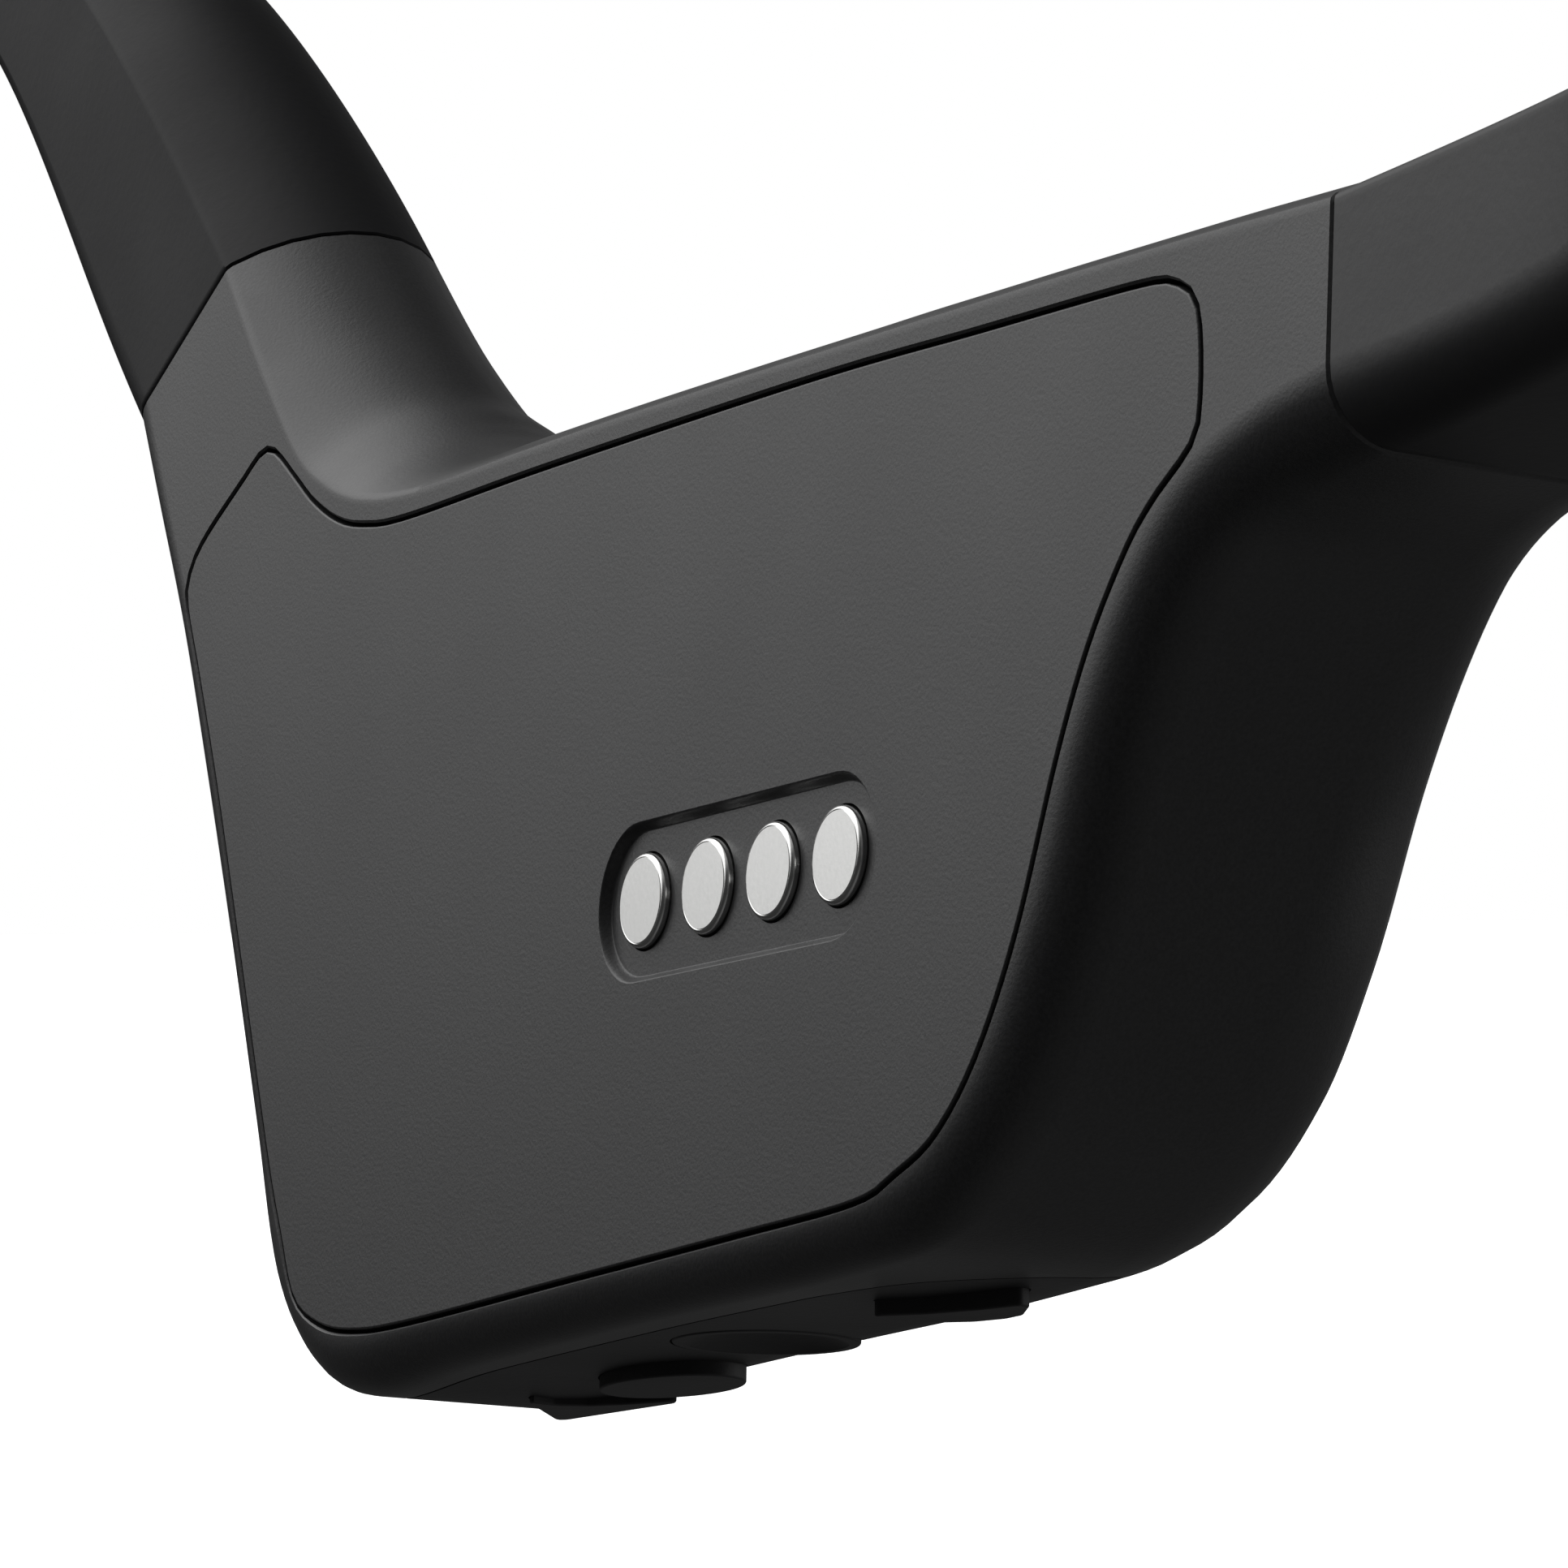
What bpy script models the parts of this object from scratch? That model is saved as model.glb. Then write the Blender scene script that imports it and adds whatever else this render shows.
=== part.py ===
"""Wrap-around bone-conduction headphones for swimming, as an assembly of separate pieces.

Frame: +Z up, the wearer looks along -Y, the neckband runs behind the head at +Y, and the right
pod is at -X. The origin is the middle of the head, half way between the two skin pads.
A pod is modelled flat, in its own frame: x towards the head, y to the rear and z up, with the
origin near the middle of the charging contacts. Sizes below are in millimetres.
"""
import math

import bmesh
import bpy
from mathutils import Euler, Matrix, Vector

MM = 0.001
GAP = 0.15                      # clearance between neighbouring pieces
RIGHT = 1.0                     # pod x towards the head is world +X on the right side
LEFT = -1.0

# Where each pod sits and how it leans on the head
POD_PLACE = (-44.5, 60.5, -1.0)
POD_PITCH = math.radians(7.12)  # the contact row rises to the rear
POD_CANT = math.radians(-6.42)  # the inner face looks slightly up
POD_YAW = math.radians(3.0)     # the pods close towards the front

# Stations round a pod: point on the top ridge (y, z), point on the lower contour (y, z),
# thickness, inner edge radius, outer edge radius, height of the arch above the ridge
POD_STATIONS = (
    (20.35, 8.99, 20.35, 4.86, 6.6, 1.3, 1.8, 0.85),
    (18.60, 9.06, 18.30, 4.55, 6.8, 1.3, 2.1, 0.88),
    (16.60, 9.15, 16.40, 3.85, 7.2, 1.3, 2.4, 0.92),
    (14.00, 9.24, 14.90, 2.50, 7.7, 1.3, 2.7, 0.97),
    (11.00, 9.33, 13.50, 0.30, 8.0, 1.3, 2.9, 1.02),
    (8.20, 9.40, 12.15, -2.80, 8.2, 1.3, 3.1, 1.07),
    (6.00, 9.46, 10.30, -5.50, 8.2, 1.25, 3.2, 1.07),
    (3.80, 9.51, 7.40, -7.20, 8.1, 1.1, 3.2, 1.07),
    (0.00, 9.60, 3.00, -7.72, 8.0, 1.0, 2.9, 1.05),
    (-5.00, 9.69, -4.50, -8.12, 8.0, 0.95, 2.8, 1.10),
    (-9.50, 9.73, -11.50, -8.52, 8.0, 1.0, 2.8, 1.15),
    (-12.30, 9.72, -15.80, -8.85, 8.0, 1.2, 2.9, 1.20),
    (-13.90, 9.73, -18.25, -8.35, 8.0, 1.3, 3.0, 1.30),
    (-15.20, 9.80, -20.10, -6.50, 7.9, 1.3, 3.0, 1.45),
    (-16.30, 9.92, -21.55, -3.20, 7.7, 1.3, 2.9, 1.65),
    (-17.40, 10.15, -23.25, 0.80, 7.4, 1.3, 2.8, 1.85),
    (-18.60, 10.60, -25.05, 4.70, 7.0, 1.3, 2.7, 2.00),
    (-20.10, 11.50, -26.75, 8.30, 6.5, 1.3, 2.6, 2.10),
    (-22.10, 13.60, -28.45, 11.30, 6.0, 1.3, 2.45, 2.10),
    (-24.45, 16.42, -29.70, 13.50, 5.6, 1.3, 2.4, 1.95),
)
STATION_STEPS = 2               # sections between two stations
EDGE_STEPS = 3                  # faces round an edge radius
ARCH_STEPS = 4
ARCH_FOOT = 0.3                 # the arch meets the outer face this share of the thickness inboard

# Inner cover
FACE = 0.3                      # the depth of the cover's face
COVER_OUTLINE = (
    (-21.4, 11.7), (-20.2, 10.9), (-19.25, 10.25), (-18.0, 9.65), (-16.7, 9.33), (-14.5, 9.14),
    (-7.9, 9.13), (2.8, 8.99), (8.8, 8.78), (14.3, 8.58), (15.5, 8.4), (16.1, 8.05), (16.35, 7.4),
    (16.4, 6.2), (16.17, 5.56), (15.0, 4.8), (14.16, 4.06), (13.05, 2.6), (12.1, 0.75),
    (10.9, -2.2), (9.67, -4.24), (8.35, -5.5), (6.96, -6.1), (5.5, -6.5), (1.0, -6.8),
    (-5.6, -7.2), (-12.7, -7.63), (-15.4, -7.65), (-17.0, -7.4), (-18.2, -6.8), (-19.0, -5.4),
    (-19.8, -3.84), (-21.6, 0.3), (-23.4, 4.4), (-24.8, 7.3), (-25.6, 8.9), (-25.6, 9.6),
    (-24.9, 10.3), (-22.9, 11.35), (-22.1, 11.75),
)
COVER_THICKNESS = 1.2
GASKET = 0.6
GASKET_INSET = (0.15, 0.8)
LEDGE = FACE - COVER_THICKNESS - GASKET - 2 * GAP
CAVITY_OUTLINE = (
    (13.6, 7.1), (-14.8, 7.6), (-19.0, 8.3), (-21.6, 9.9), (-23.6, 9.0), (-24.0, 8.2),
    (-20.1, -0.5), (-17.8, -5.1), (-16.4, -6.1), (-12.7, -6.2), (5.2, -5.1), (7.5, -4.4),
    (9.6, -1.6), (11.9, 3.2), (14.0, 6.0),
)
CAVITY_FLOOR = -6.2

# Charging contacts
PITCH = 2.54
CONTACT_RADIUS = 0.925
CONTACT_HOLE = 1.08
CONTACT_MIDDLE = (0.49, -0.08)
POCKET_LENGTH = 10.7
POCKET_HEIGHT = 2.9
POCKET_MIDDLE = (0.49, -0.12)
POCKET_FLOOR = 0.08
PIN_PROFILE = (                 # radius, depth, from the tail to the face
    (0.4, -3.0), (0.4, -1.3), (1.15, -1.3), (1.15, -1.0), (CONTACT_RADIUS, -1.0),
    (CONTACT_RADIUS, 0.17), (CONTACT_RADIUS - 0.08, 0.25),
)
TAIL_HOLE = 0.55
HOLDER_SIZE = (12.2, 3.4)
HOLDER_DEPTHS = (-2.6, -1.4)

# Button strip on the underside; its frame leans with the underside
STRIP_PLACE = (-5.5, -8.2)
STRIP_TILT = math.radians(3.07)
STRIP_THICKNESS = 1.0
STRIP_OUTLINE = (
    (2.0, -1.5), (3.9, -2.2), (5.1, -3.5), (5.6, -5.0), (5.3, -6.1), (4.3, -6.6), (-15.9, -6.6),
    (-17.5, -6.3), (-18.4, -5.3), (-18.4, -3.6), (-17.2, -2.1), (-15.2, -1.5),
)
BUTTON_PROUD = 0.3
BUTTON_TRAVEL_ROOM = 0.35
DISH = ((0.2, 0.32), (0.95, 0.24), (1.65, -0.05), (1.75, -0.4))     # radius, level
CAP_BACK = 0.8                  # leaves room behind the cap for its travel
STEM_RADIUS = 0.55
STEM_START = 0.5
STEM_END = 2.9
GUIDE_END = 3.6
SWITCH_HEIGHT = 1.1
SWITCH_HALF = (0.8, 1.3)
SWITCH_BOARD = ((-16.0, -2.2), (3.8, -2.2), (3.8, -5.4), (-16.0, -5.4))
SWITCH_BOARD_THICKNESS = 0.4

# Inside the right pod (main board) and the left pod (battery); depths are along pod x
MAIN_BOARD = ((8.8, -1.4), (12.4, 5.9), (-18.2, 6.6), (-19.8, 3.0), (-18.4, -2.2), (-4.0, -2.2))
MAIN_BOARD_DEPTHS = (-4.0, -3.2)
PROCESSOR_CAN = ((-5.5, -12.0, -0.8), (-4.15, -3.0, 5.4))
MEMORY_CHIP = ((-5.1, 0.0, -0.4), (-4.15, 7.0, 4.9))
CELL_OUTLINE = (
    (9.0, -1.0), (11.0, 3.2), (11.6, 5.6), (11.0, 6.3), (-18.0, 6.3), (-18.8, 5.6),
    (-18.2, -0.6), (-15.9, -4.4), (-15.2, -4.9), (3.6, -4.1), (7.4, -3.2),
)
CELL_DEPTHS = (-6.0, -2.2)
PROTECTION_BOARD = ((9.0, -1.0), (11.4, 5.6), (4.2, 5.9), (4.2, -3.6))
PROTECTION_DEPTHS = (-2.0, -1.5)

# Ear hooks, neckband and transducers, in world millimetres on the right side
WIRE_RADIUS = 0.75
WIRE_ASIDE = 1.05               # the wire's distance from the sleeve's centre line
LEAD_RADIUS = 0.45
LEAD_ASIDE = -1.0
BORE_CLEARANCE = 0.2
BORE_OVERRUN = 1.5              # a bore runs this far past the sleeve's slim end
INSIDE_UNIT = 100.0             # a stop of -1 lies this far inside the pod
HOOK_WIRE_ENDS = (-0.072, 1.01)
BAND_WIRE_ENDS = (-0.07, 1.0)
BORE_DEEPER = 1.3               # the bore in the pod is this much deeper than the wire
HOOK_RISE = math.radians(45.5)  # the hook leaves the pod at this slope, in the pod's plane
HOOK_TOP = (-46.2, 11.5, 22.2)
HOOK_END = (-42.8, 1.9, 12.7)
HOOK_END_WAY = (0.0, -0.16, -0.987)
BAND_RISE = 0.04                # the neckband leaves its seam slightly upwards
BAND_REAR = (0.0, 116.0, 15.5)
BAND_HALF_GAP = 0.25
BAND_SIZE = (2.9, 5.4)          # thickness and height of the slim neckband
HOOK_SIZE = (4.2, 4.8)          # thickness and width of the slim ear hook
ARM_SECTIONS = 15
SEAM_SHARE = 0.2                # the sections leave the seam's plane over this share of an arm

TRANSDUCER = (-42.0, 0.0, 0.0)
HOUSING_HALF = (9.6, 10.8)      # half length and half height
PAD_FACE = 5.6                  # skin face, from the transducer's middle towards the head
HOUSING_RINGS = ((0.62, -5.6), (0.86, -5.1), (0.97, -3.8), (1.0, -2.0), (1.0, 2.6))
HOLLOW_RINGS = ((0.88, -3.4), (0.8, -4.2))      # share of the outline, depth
PAD_RINGS = ((0.84, 1.9), (0.86, 2.75), (1.0, 2.76), (1.0, 4.2), (0.96, 5.1), (0.86, PAD_FACE))
HOUSING_RIM = 2.6
NECK_REACH = (0.25, 4.2)        # the neck's ends, from the sleeve's end into the housing
YOKE = ((7.0, -3.2), (7.0, 0.6), (6.2, 0.6), (6.2, -2.4))           # radius, depth
MAGNET = ((4.4, -2.25), (4.4, -0.3))
POLE_PLATE = ((4.4, -0.15), (4.4, 0.6))
COIL_RADII = (5.8, 4.9)
COIL_DEPTHS = (-1.6, 1.0)
SPRING_RADII = (7.6, 1.6)
SPRING_DEPTHS = (1.2, 1.5)


def clear_scene():
    for item in list(bpy.data.objects):
        bpy.data.objects.remove(item, do_unlink=True)


def finish_of(name, colour, roughness, metallic=0.0):
    """A plain material, made once for each name."""
    material = bpy.data.materials.get(name) or bpy.data.materials.new(name)
    material.use_nodes = True
    shader = material.node_tree.nodes["Principled BSDF"]
    shader.inputs["Base Color"].default_value = (*colour, 1.0)
    shader.inputs["Roughness"].default_value = roughness
    shader.inputs["Metallic"].default_value = metallic
    return material


def black_shell():
    return finish_of("matte_shell", (0.045, 0.045, 0.047), 0.5)


def silicone():
    return finish_of("silicone", (0.022, 0.022, 0.024), 0.6)


def bright_metal():
    return finish_of("contact_metal", (0.75, 0.75, 0.74), 0.22, 1.0)


def steel():
    return finish_of("steel", (0.42, 0.42, 0.43), 0.35, 1.0)


def circuit_board():
    return finish_of("circuit_board", (0.02, 0.09, 0.05), 0.45)


def chip_black():
    return finish_of("chip", (0.03, 0.03, 0.03), 0.4)


def copper():
    return finish_of("copper", (0.72, 0.36, 0.18), 0.35, 1.0)


def foil():
    return finish_of("battery_foil", (0.55, 0.56, 0.58), 0.35)


def frame_at(name, place, turn=(0.0, 0.0, 0.0), parent=None):
    """An empty that carries the pieces of one frame; the place is in millimetres."""
    empty = bpy.data.objects.new(name, None)
    bpy.context.collection.objects.link(empty)
    empty.location = Vector(place) * MM
    empty.rotation_euler = Euler(turn)
    empty.parent = parent
    return empty


def solid(name, build, material, parent=None, is_cutter=False):
    """Make an object from a bmesh in millimetres and put it under its frame."""
    bmesh.ops.recalc_face_normals(build, faces=build.faces)
    if build.calc_volume(signed=True) < 0:
        bmesh.ops.reverse_faces(build, faces=build.faces)
    bmesh.ops.scale(build, vec=(MM, MM, MM), verts=build.verts)
    mesh = bpy.data.meshes.new(name)
    build.to_mesh(mesh)
    build.free()
    mesh.shade_smooth()
    mesh.set_sharp_from_angle(angle=math.radians(35))
    piece = bpy.data.objects.new(name, mesh)
    bpy.context.collection.objects.link(piece)
    piece.parent = parent
    if is_cutter:
        piece.hide_render = True
        piece.display_type = "WIRE"
    else:
        mesh.materials.append(material)
    return piece


def boolean(piece, cutter, operation="DIFFERENCE"):
    step = piece.modifiers.new(cutter.name, "BOOLEAN")
    step.operation = operation
    step.solver = "EXACT"
    step.object = cutter


def catmull(rows, steps, closed=False):
    """Rows of numbers, with steps - 1 smooth rows added between each pair."""
    count = len(rows)
    spans = count if closed else count - 1
    smooth = []
    for span in range(spans):
        if closed:
            around = [rows[(span + k) % count] for k in (-1, 0, 1, 2)]
        else:
            around = [rows[min(max(span + k, 0), count - 1)] for k in (-1, 0, 1, 2)]
        for step in range(steps):
            t = step / steps
            weights = (
                -0.5 * t + t * t - 0.5 * t ** 3,
                1 - 2.5 * t * t + 1.5 * t ** 3,
                0.5 * t + 2 * t * t - 1.5 * t ** 3,
                -0.5 * t * t + 0.5 * t ** 3,
            )
            columns = zip(*around)
            smooth.append(tuple(sum(w * v for w, v in zip(weights, column)) for column in columns))
    if not closed:
        smooth.append(tuple(rows[-1]))
    return smooth


def bezier(p0, p1, p2, p3, t):
    s = 1 - t
    return p0 * s ** 3 + p1 * 3 * s * s * t + p2 * 3 * s * t * t + p3 * t ** 3


def smoothstep(t):
    t = min(max(t, 0.0), 1.0)
    return t * t * (3 - 2 * t)


def loft(rings):
    """A closed solid through rings of points, with a flat cap at both ends."""
    build = bmesh.new()
    loops = [[build.verts.new(point) for point in ring] for ring in rings]
    for near, far in zip(loops, loops[1:]):
        for i in range(len(near)):
            j = (i + 1) % len(near)
            build.faces.new((near[i], near[j], far[j], far[i]))
    build.faces.new(loops[0])
    build.faces.new(loops[-1])
    return build


def prism(outline, low, high, to_point):
    """Extrude a flat outline between two levels; to_point places (u, v, level)."""
    return loft([[to_point(u, v, level) for u, v in outline] for level in (low, high)])


def offset_outline(outline, distance):
    """Move a closed outline along its own normals; positive makes it larger."""
    area = sum(a[0] * b[1] - b[0] * a[1] for a, b in zip(outline, outline[1:] + outline[:1]))
    side = math.copysign(1.0, area)
    moved = []
    for i, point in enumerate(outline):
        before = Vector(outline[i - 1])
        after = Vector(outline[(i + 1) % len(outline)])
        along = (after - before).normalized()
        moved.append((point[0] + side * along.y * distance, point[1] - side * along.x * distance))
    return moved


def stadium(length, height, middle, steps=6):
    """A slot outline, long in its first coordinate."""
    radius = height / 2
    reach = length / 2 - radius
    points = []
    for end, start in ((1, -90), (-1, 90)):
        for step in range(steps + 1):
            angle = math.radians(start + 180 * step / steps)
            points.append((middle[0] + end * reach + radius * math.cos(angle),
                           middle[1] + radius * math.sin(angle)))
    return points


def ellipse(middle, half_u, half_v, count=20):
    turns = (2 * math.pi * i / count for i in range(count))
    return [(middle[0] + half_u * math.cos(a), middle[1] + half_v * math.sin(a)) for a in turns]


def superellipse(half_u, half_v, power=2.6, count=22):
    points = []
    for i in range(count):
        angle = 2 * math.pi * i / count
        c, s = math.cos(angle), math.sin(angle)
        points.append((math.copysign(abs(c) ** (2 / power) * half_u, c),
                       math.copysign(abs(s) ** (2 / power) * half_v, s)))
    return points


def pod_section(station, ridge_out, lower_out):
    """One closed section of a pod as (depth, y, z), from the ridge round to the ridge."""
    ridge = Vector(station[0:2])
    lower = Vector(station[2:4])
    thickness, inner, outer, arch = station[4:8]
    back = FACE - thickness
    section = []

    def add(point, depth):
        section.append((depth, point.x, point.y))

    add(ridge, FACE)
    for step in range(EDGE_STEPS + 1):
        turn = math.pi / 2 * step / EDGE_STEPS
        add(lower - lower_out * inner * (1 - math.sin(turn)), FACE - inner * (1 - math.cos(turn)))
    for step in range(EDGE_STEPS + 1):
        turn = math.pi / 2 * step / EDGE_STEPS
        add(lower - lower_out * outer * (1 - math.cos(turn)), back + outer * (1 - math.sin(turn)))
    foot = thickness * ARCH_FOOT
    for step in range(ARCH_STEPS):
        t = step / ARCH_STEPS
        out = bezier(-foot, arch * 1.33, arch * 1.33, 0.0, t)
        depth = bezier(back, back, FACE - thickness * 0.3, FACE, t)
        add(ridge + ridge_out * out, depth)
    return section


def pod_sections():
    """Every section of a pod, from the neckband seam round the underside to the hook seam."""
    rows = catmull(POD_STATIONS, STATION_STEPS)
    last = len(rows) - 1
    sections = []
    for i, row in enumerate(rows):
        before, after = rows[max(i - 1, 0)], rows[min(i + 1, last)]
        ridge_way = Vector((after[0] - before[0], after[1] - before[1])).normalized()
        lower_way = Vector((after[2] - before[2], after[3] - before[3])).normalized()
        across = Vector((row[2] - row[0], row[3] - row[1])).normalized()
        true_share = smoothstep(min(i, last - i) / (2.5 * STATION_STEPS))
        ridge_out = Vector((ridge_way.y, -ridge_way.x)).lerp(-across, 1 - true_share).normalized()
        lower_out = Vector((-lower_way.y, lower_way.x)).lerp(across, 1 - true_share).normalized()
        sections.append(pod_section(row, ridge_out, lower_out))
    return sections


def pod_loft(side):
    return loft([[(side * d, y, z) for d, y, z in ring] for ring in pod_sections()])


def pod_prism(side, outline, low, high):
    return prism(outline, low, high, lambda y, z, depth: (side * depth, y, z))


def ring_prism(outer, inner, low, high, to_point):
    """A flat ring between two outlines with the same number of points."""
    rings = [[to_point(u, v, level) for u, v in outline]
             for outline, level in ((outer, low), (outer, high), (inner, high), (inner, low))]
    build = bmesh.new()
    loops = [[build.verts.new(point) for point in ring] for ring in rings]
    for near, far in zip(loops, loops[1:] + loops[:1]):
        for i in range(len(near)):
            j = (i + 1) % len(near)
            build.faces.new((near[i], near[j], far[j], far[i]))
    return build


def turned(profile, to_point, count=16):
    """A turned solid: profile is (radius, level) from one end of the axis to the other."""
    rings = []
    for radius, level in profile:
        turns = (2 * math.pi * i / count for i in range(count))
        rings.append([to_point(radius * math.cos(a), radius * math.sin(a), level) for a in turns])
    return loft(rings)


def block(low, high):
    """A plain box between two corners."""
    outline = ((low[0], low[1]), (high[0], low[1]), (high[0], high[1]), (low[0], high[1]))
    return prism(outline, low[2], high[2], lambda x, y, z: (x, y, z))


def pod_matrix():
    """Right pod's frame in world millimetres."""
    turn = Euler((POD_PITCH, POD_CANT, POD_YAW)).to_matrix().to_4x4()
    return Matrix.Translation(POD_PLACE) @ turn


def seam_frame(section):
    """Middle of an end section, and its width and depth directions, in world millimetres."""
    matrix = pod_matrix()
    points = [matrix @ Vector(p) for p in section]
    ridge, fillet = points[0], points[1]
    wide = (fillet - ridge).normalized()
    deep = -(matrix.to_3x3() @ Vector((1.0, 0.0, 0.0))).normalized()
    reach = [(p - ridge).dot(wide) for p in points]
    depth = [(p - ridge).dot(deep) for p in points]
    middle = ridge + wide * (max(reach) + min(reach)) / 2 + deep * (max(depth) + min(depth)) / 2
    return middle, wide, deep, [((p - middle).dot(wide), (p - middle).dot(deep)) for p in points]


class Arm:
    """A sleeve's centre line with a frame at each section; all in world millimetres."""

    def __init__(self, section, controls, end_wide, end_size, settle):
        self.middle, self.wide, self.deep, self.seam = seam_frame(section)
        self.way = self.wide.cross(self.deep).normalized()
        if self.way.dot(self.middle - Vector(POD_PLACE)) < 0:
            self.way = -self.way
        self.controls = controls(self.middle + self.way * GAP, self.way)
        self.hand = math.copysign(1.0, self.way.cross(self.wide).dot(self.deep))
        self.end_wide = Vector(end_wide)
        self.end_size = end_size
        self.settle = settle

    def place(self, t):
        spans = (len(self.controls) - 1) // 3
        span = min(int(t * spans), spans - 1)
        local = t * spans - span
        return bezier(*self.controls[3 * span:3 * span + 4], local)

    def frame(self, t):
        """Point, width direction and depth direction at t from 0 to 1."""
        step = 0.002
        way = (self.place(min(t + step, 1.0)) - self.place(max(t - step, 0.0))).normalized()
        wide = self.wide.lerp(self.end_wide, smoothstep(t))
        wide = (wide - way * wide.dot(way)).normalized()
        deep = way.cross(wide).normalized() * self.hand
        squared = smoothstep(t / SEAM_SHARE)
        return self.place(t), self.wide.lerp(wide, squared), self.deep.lerp(deep, squared)

    def section(self, t):
        """Sleeve outline at t: the pod's own section fading into a slim oval."""
        place, wide, deep = self.frame(t)
        slim = smoothstep(t / self.settle)
        ring = []
        for w, d in self.seam:
            reach = math.hypot(w / self.end_size[1], d / self.end_size[0])
            corner = 0.5 / reach
            ring.append(place + wide * (w + (w * corner - w) * slim)
                        + deep * (d + (d * corner - d) * slim))
        return ring

    def core(self, t, radius, aside, count=8):
        """Ring of a wire aside from the sleeve's centre line; below 0 it is inside the pod."""
        place, wide, deep = self.frame(min(max(t, 0.0), 1.0))
        if t < 0:
            place = self.middle + self.way * t * INSIDE_UNIT
        middle = place + wide * aside
        turns = (2 * math.pi * i / count for i in range(count))
        return [middle + wide * radius * math.cos(a) + deep * radius * math.sin(a) for a in turns]


def hook_arm():
    """From the pod's hook seam over the ear to the transducer."""
    end = Vector(HOOK_END)
    down = Vector(HOOK_END_WAY)
    top = Vector(HOOK_TOP)
    forward = Vector((0.0, -1.0, 0.0))
    slope = Vector((0.0, -math.cos(HOOK_RISE), math.sin(HOOK_RISE)))
    rise = pod_matrix().to_3x3() @ slope

    def controls(start, way):
        return (start, start + rise * 8.5, top - forward * 7.0, top,
                top + forward * 6.5, end - down * 5.5, end)

    return Arm(pod_sections()[-1], controls, (0.0, 1.0, -0.16), HOOK_SIZE, 0.5)


def band_arm():
    """From the pod's neckband seam round the nape to the middle of the neckband."""
    end = Vector(BAND_REAR) - Vector((BAND_HALF_GAP, 0.0, 0.0))

    def controls(start, way):
        leave = way + Vector((0.0, 0.0, BAND_RISE))
        return (start, start + leave * 22.0, end - Vector((30.0, 0.0, 0.0)), end)

    return Arm(pod_sections()[0], controls, (0.0, 0.0, -1.0), BAND_SIZE, 0.45)


def on_side(build, side):
    """Mirror a right-hand solid for the left side."""
    if side == LEFT:
        for vert in build.verts:
            vert.co.x = -vert.co.x
    return build


def from_frame(build, frame):
    """Move world millimetres into a frame that is only shifted."""
    bmesh.ops.translate(build, vec=-frame.location / MM, verts=build.verts)
    return build


def add_arm(arm, names, side, frame, wire_ends):
    """A sleeve with its spring wire and its lead, each in its own bore."""
    sleeve_name, wire_name, lead_name = names
    stops = [i / ARM_SECTIONS for i in range(ARM_SECTIONS + 1)]
    sleeve = solid(sleeve_name, from_frame(on_side(loft([arm.section(t) for t in stops]), side),
                                           frame), silicone(), frame)
    wires = ((wire_name, WIRE_RADIUS, WIRE_ASIDE, steel()),
             (lead_name, LEAD_RADIUS, LEAD_ASIDE, copper()))
    for name, radius, aside, material in wires:
        run = [wire_ends[0]] + stops[1:-1] + [wire_ends[1]]
        core = [arm.core(t, radius, -aside) for t in run]
        bore_run = [wire_ends[0] * BORE_DEEPER] + stops[1:-1] + [1.0]
        bore = [arm.core(t, radius + BORE_CLEARANCE, -aside) for t in bore_run]
        way = (bore[-1][0] - bore[-2][0]).normalized()
        bore.append([point + way * BORE_OVERRUN for point in bore[-1]])
        solid(name, from_frame(on_side(loft(core), side), frame), material, frame)
        cutter = solid("cut_" + name, from_frame(on_side(loft(bore), side), frame), None, frame, True)
        boolean(sleeve, cutter)
    return sleeve


def add_shell(name, side, frame, arm_cutters):
    shell = solid(name, pod_loft(side), black_shell(), frame)
    cover = offset_outline(list(COVER_OUTLINE), GAP)
    recess = solid("cut_recess_" + name, pod_prism(side, cover, LEDGE, FACE + 2), None, frame, True)
    hollow = solid("cut_cavity_" + name, pod_prism(side, CAVITY_OUTLINE, CAVITY_FLOOR, LEDGE + 0.5),
                   None, frame, True)
    for cutter in [recess, hollow] + arm_cutters:
        boolean(shell, cutter)
    return shell


def add_cover(name, side, frame):
    back = FACE - COVER_THICKNESS
    return solid(name, pod_prism(side, COVER_OUTLINE, back, FACE), black_shell(), frame)


def add_gasket(name, side, frame):
    outer = offset_outline(list(COVER_OUTLINE), -GASKET_INSET[0])
    inner = offset_outline(list(COVER_OUTLINE), -GASKET_INSET[1])
    low = LEDGE + GAP
    build = ring_prism(outer, inner, low, low + GASKET, lambda y, z, d: (side * d, y, z))
    return solid(name, build, silicone(), frame)


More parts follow.
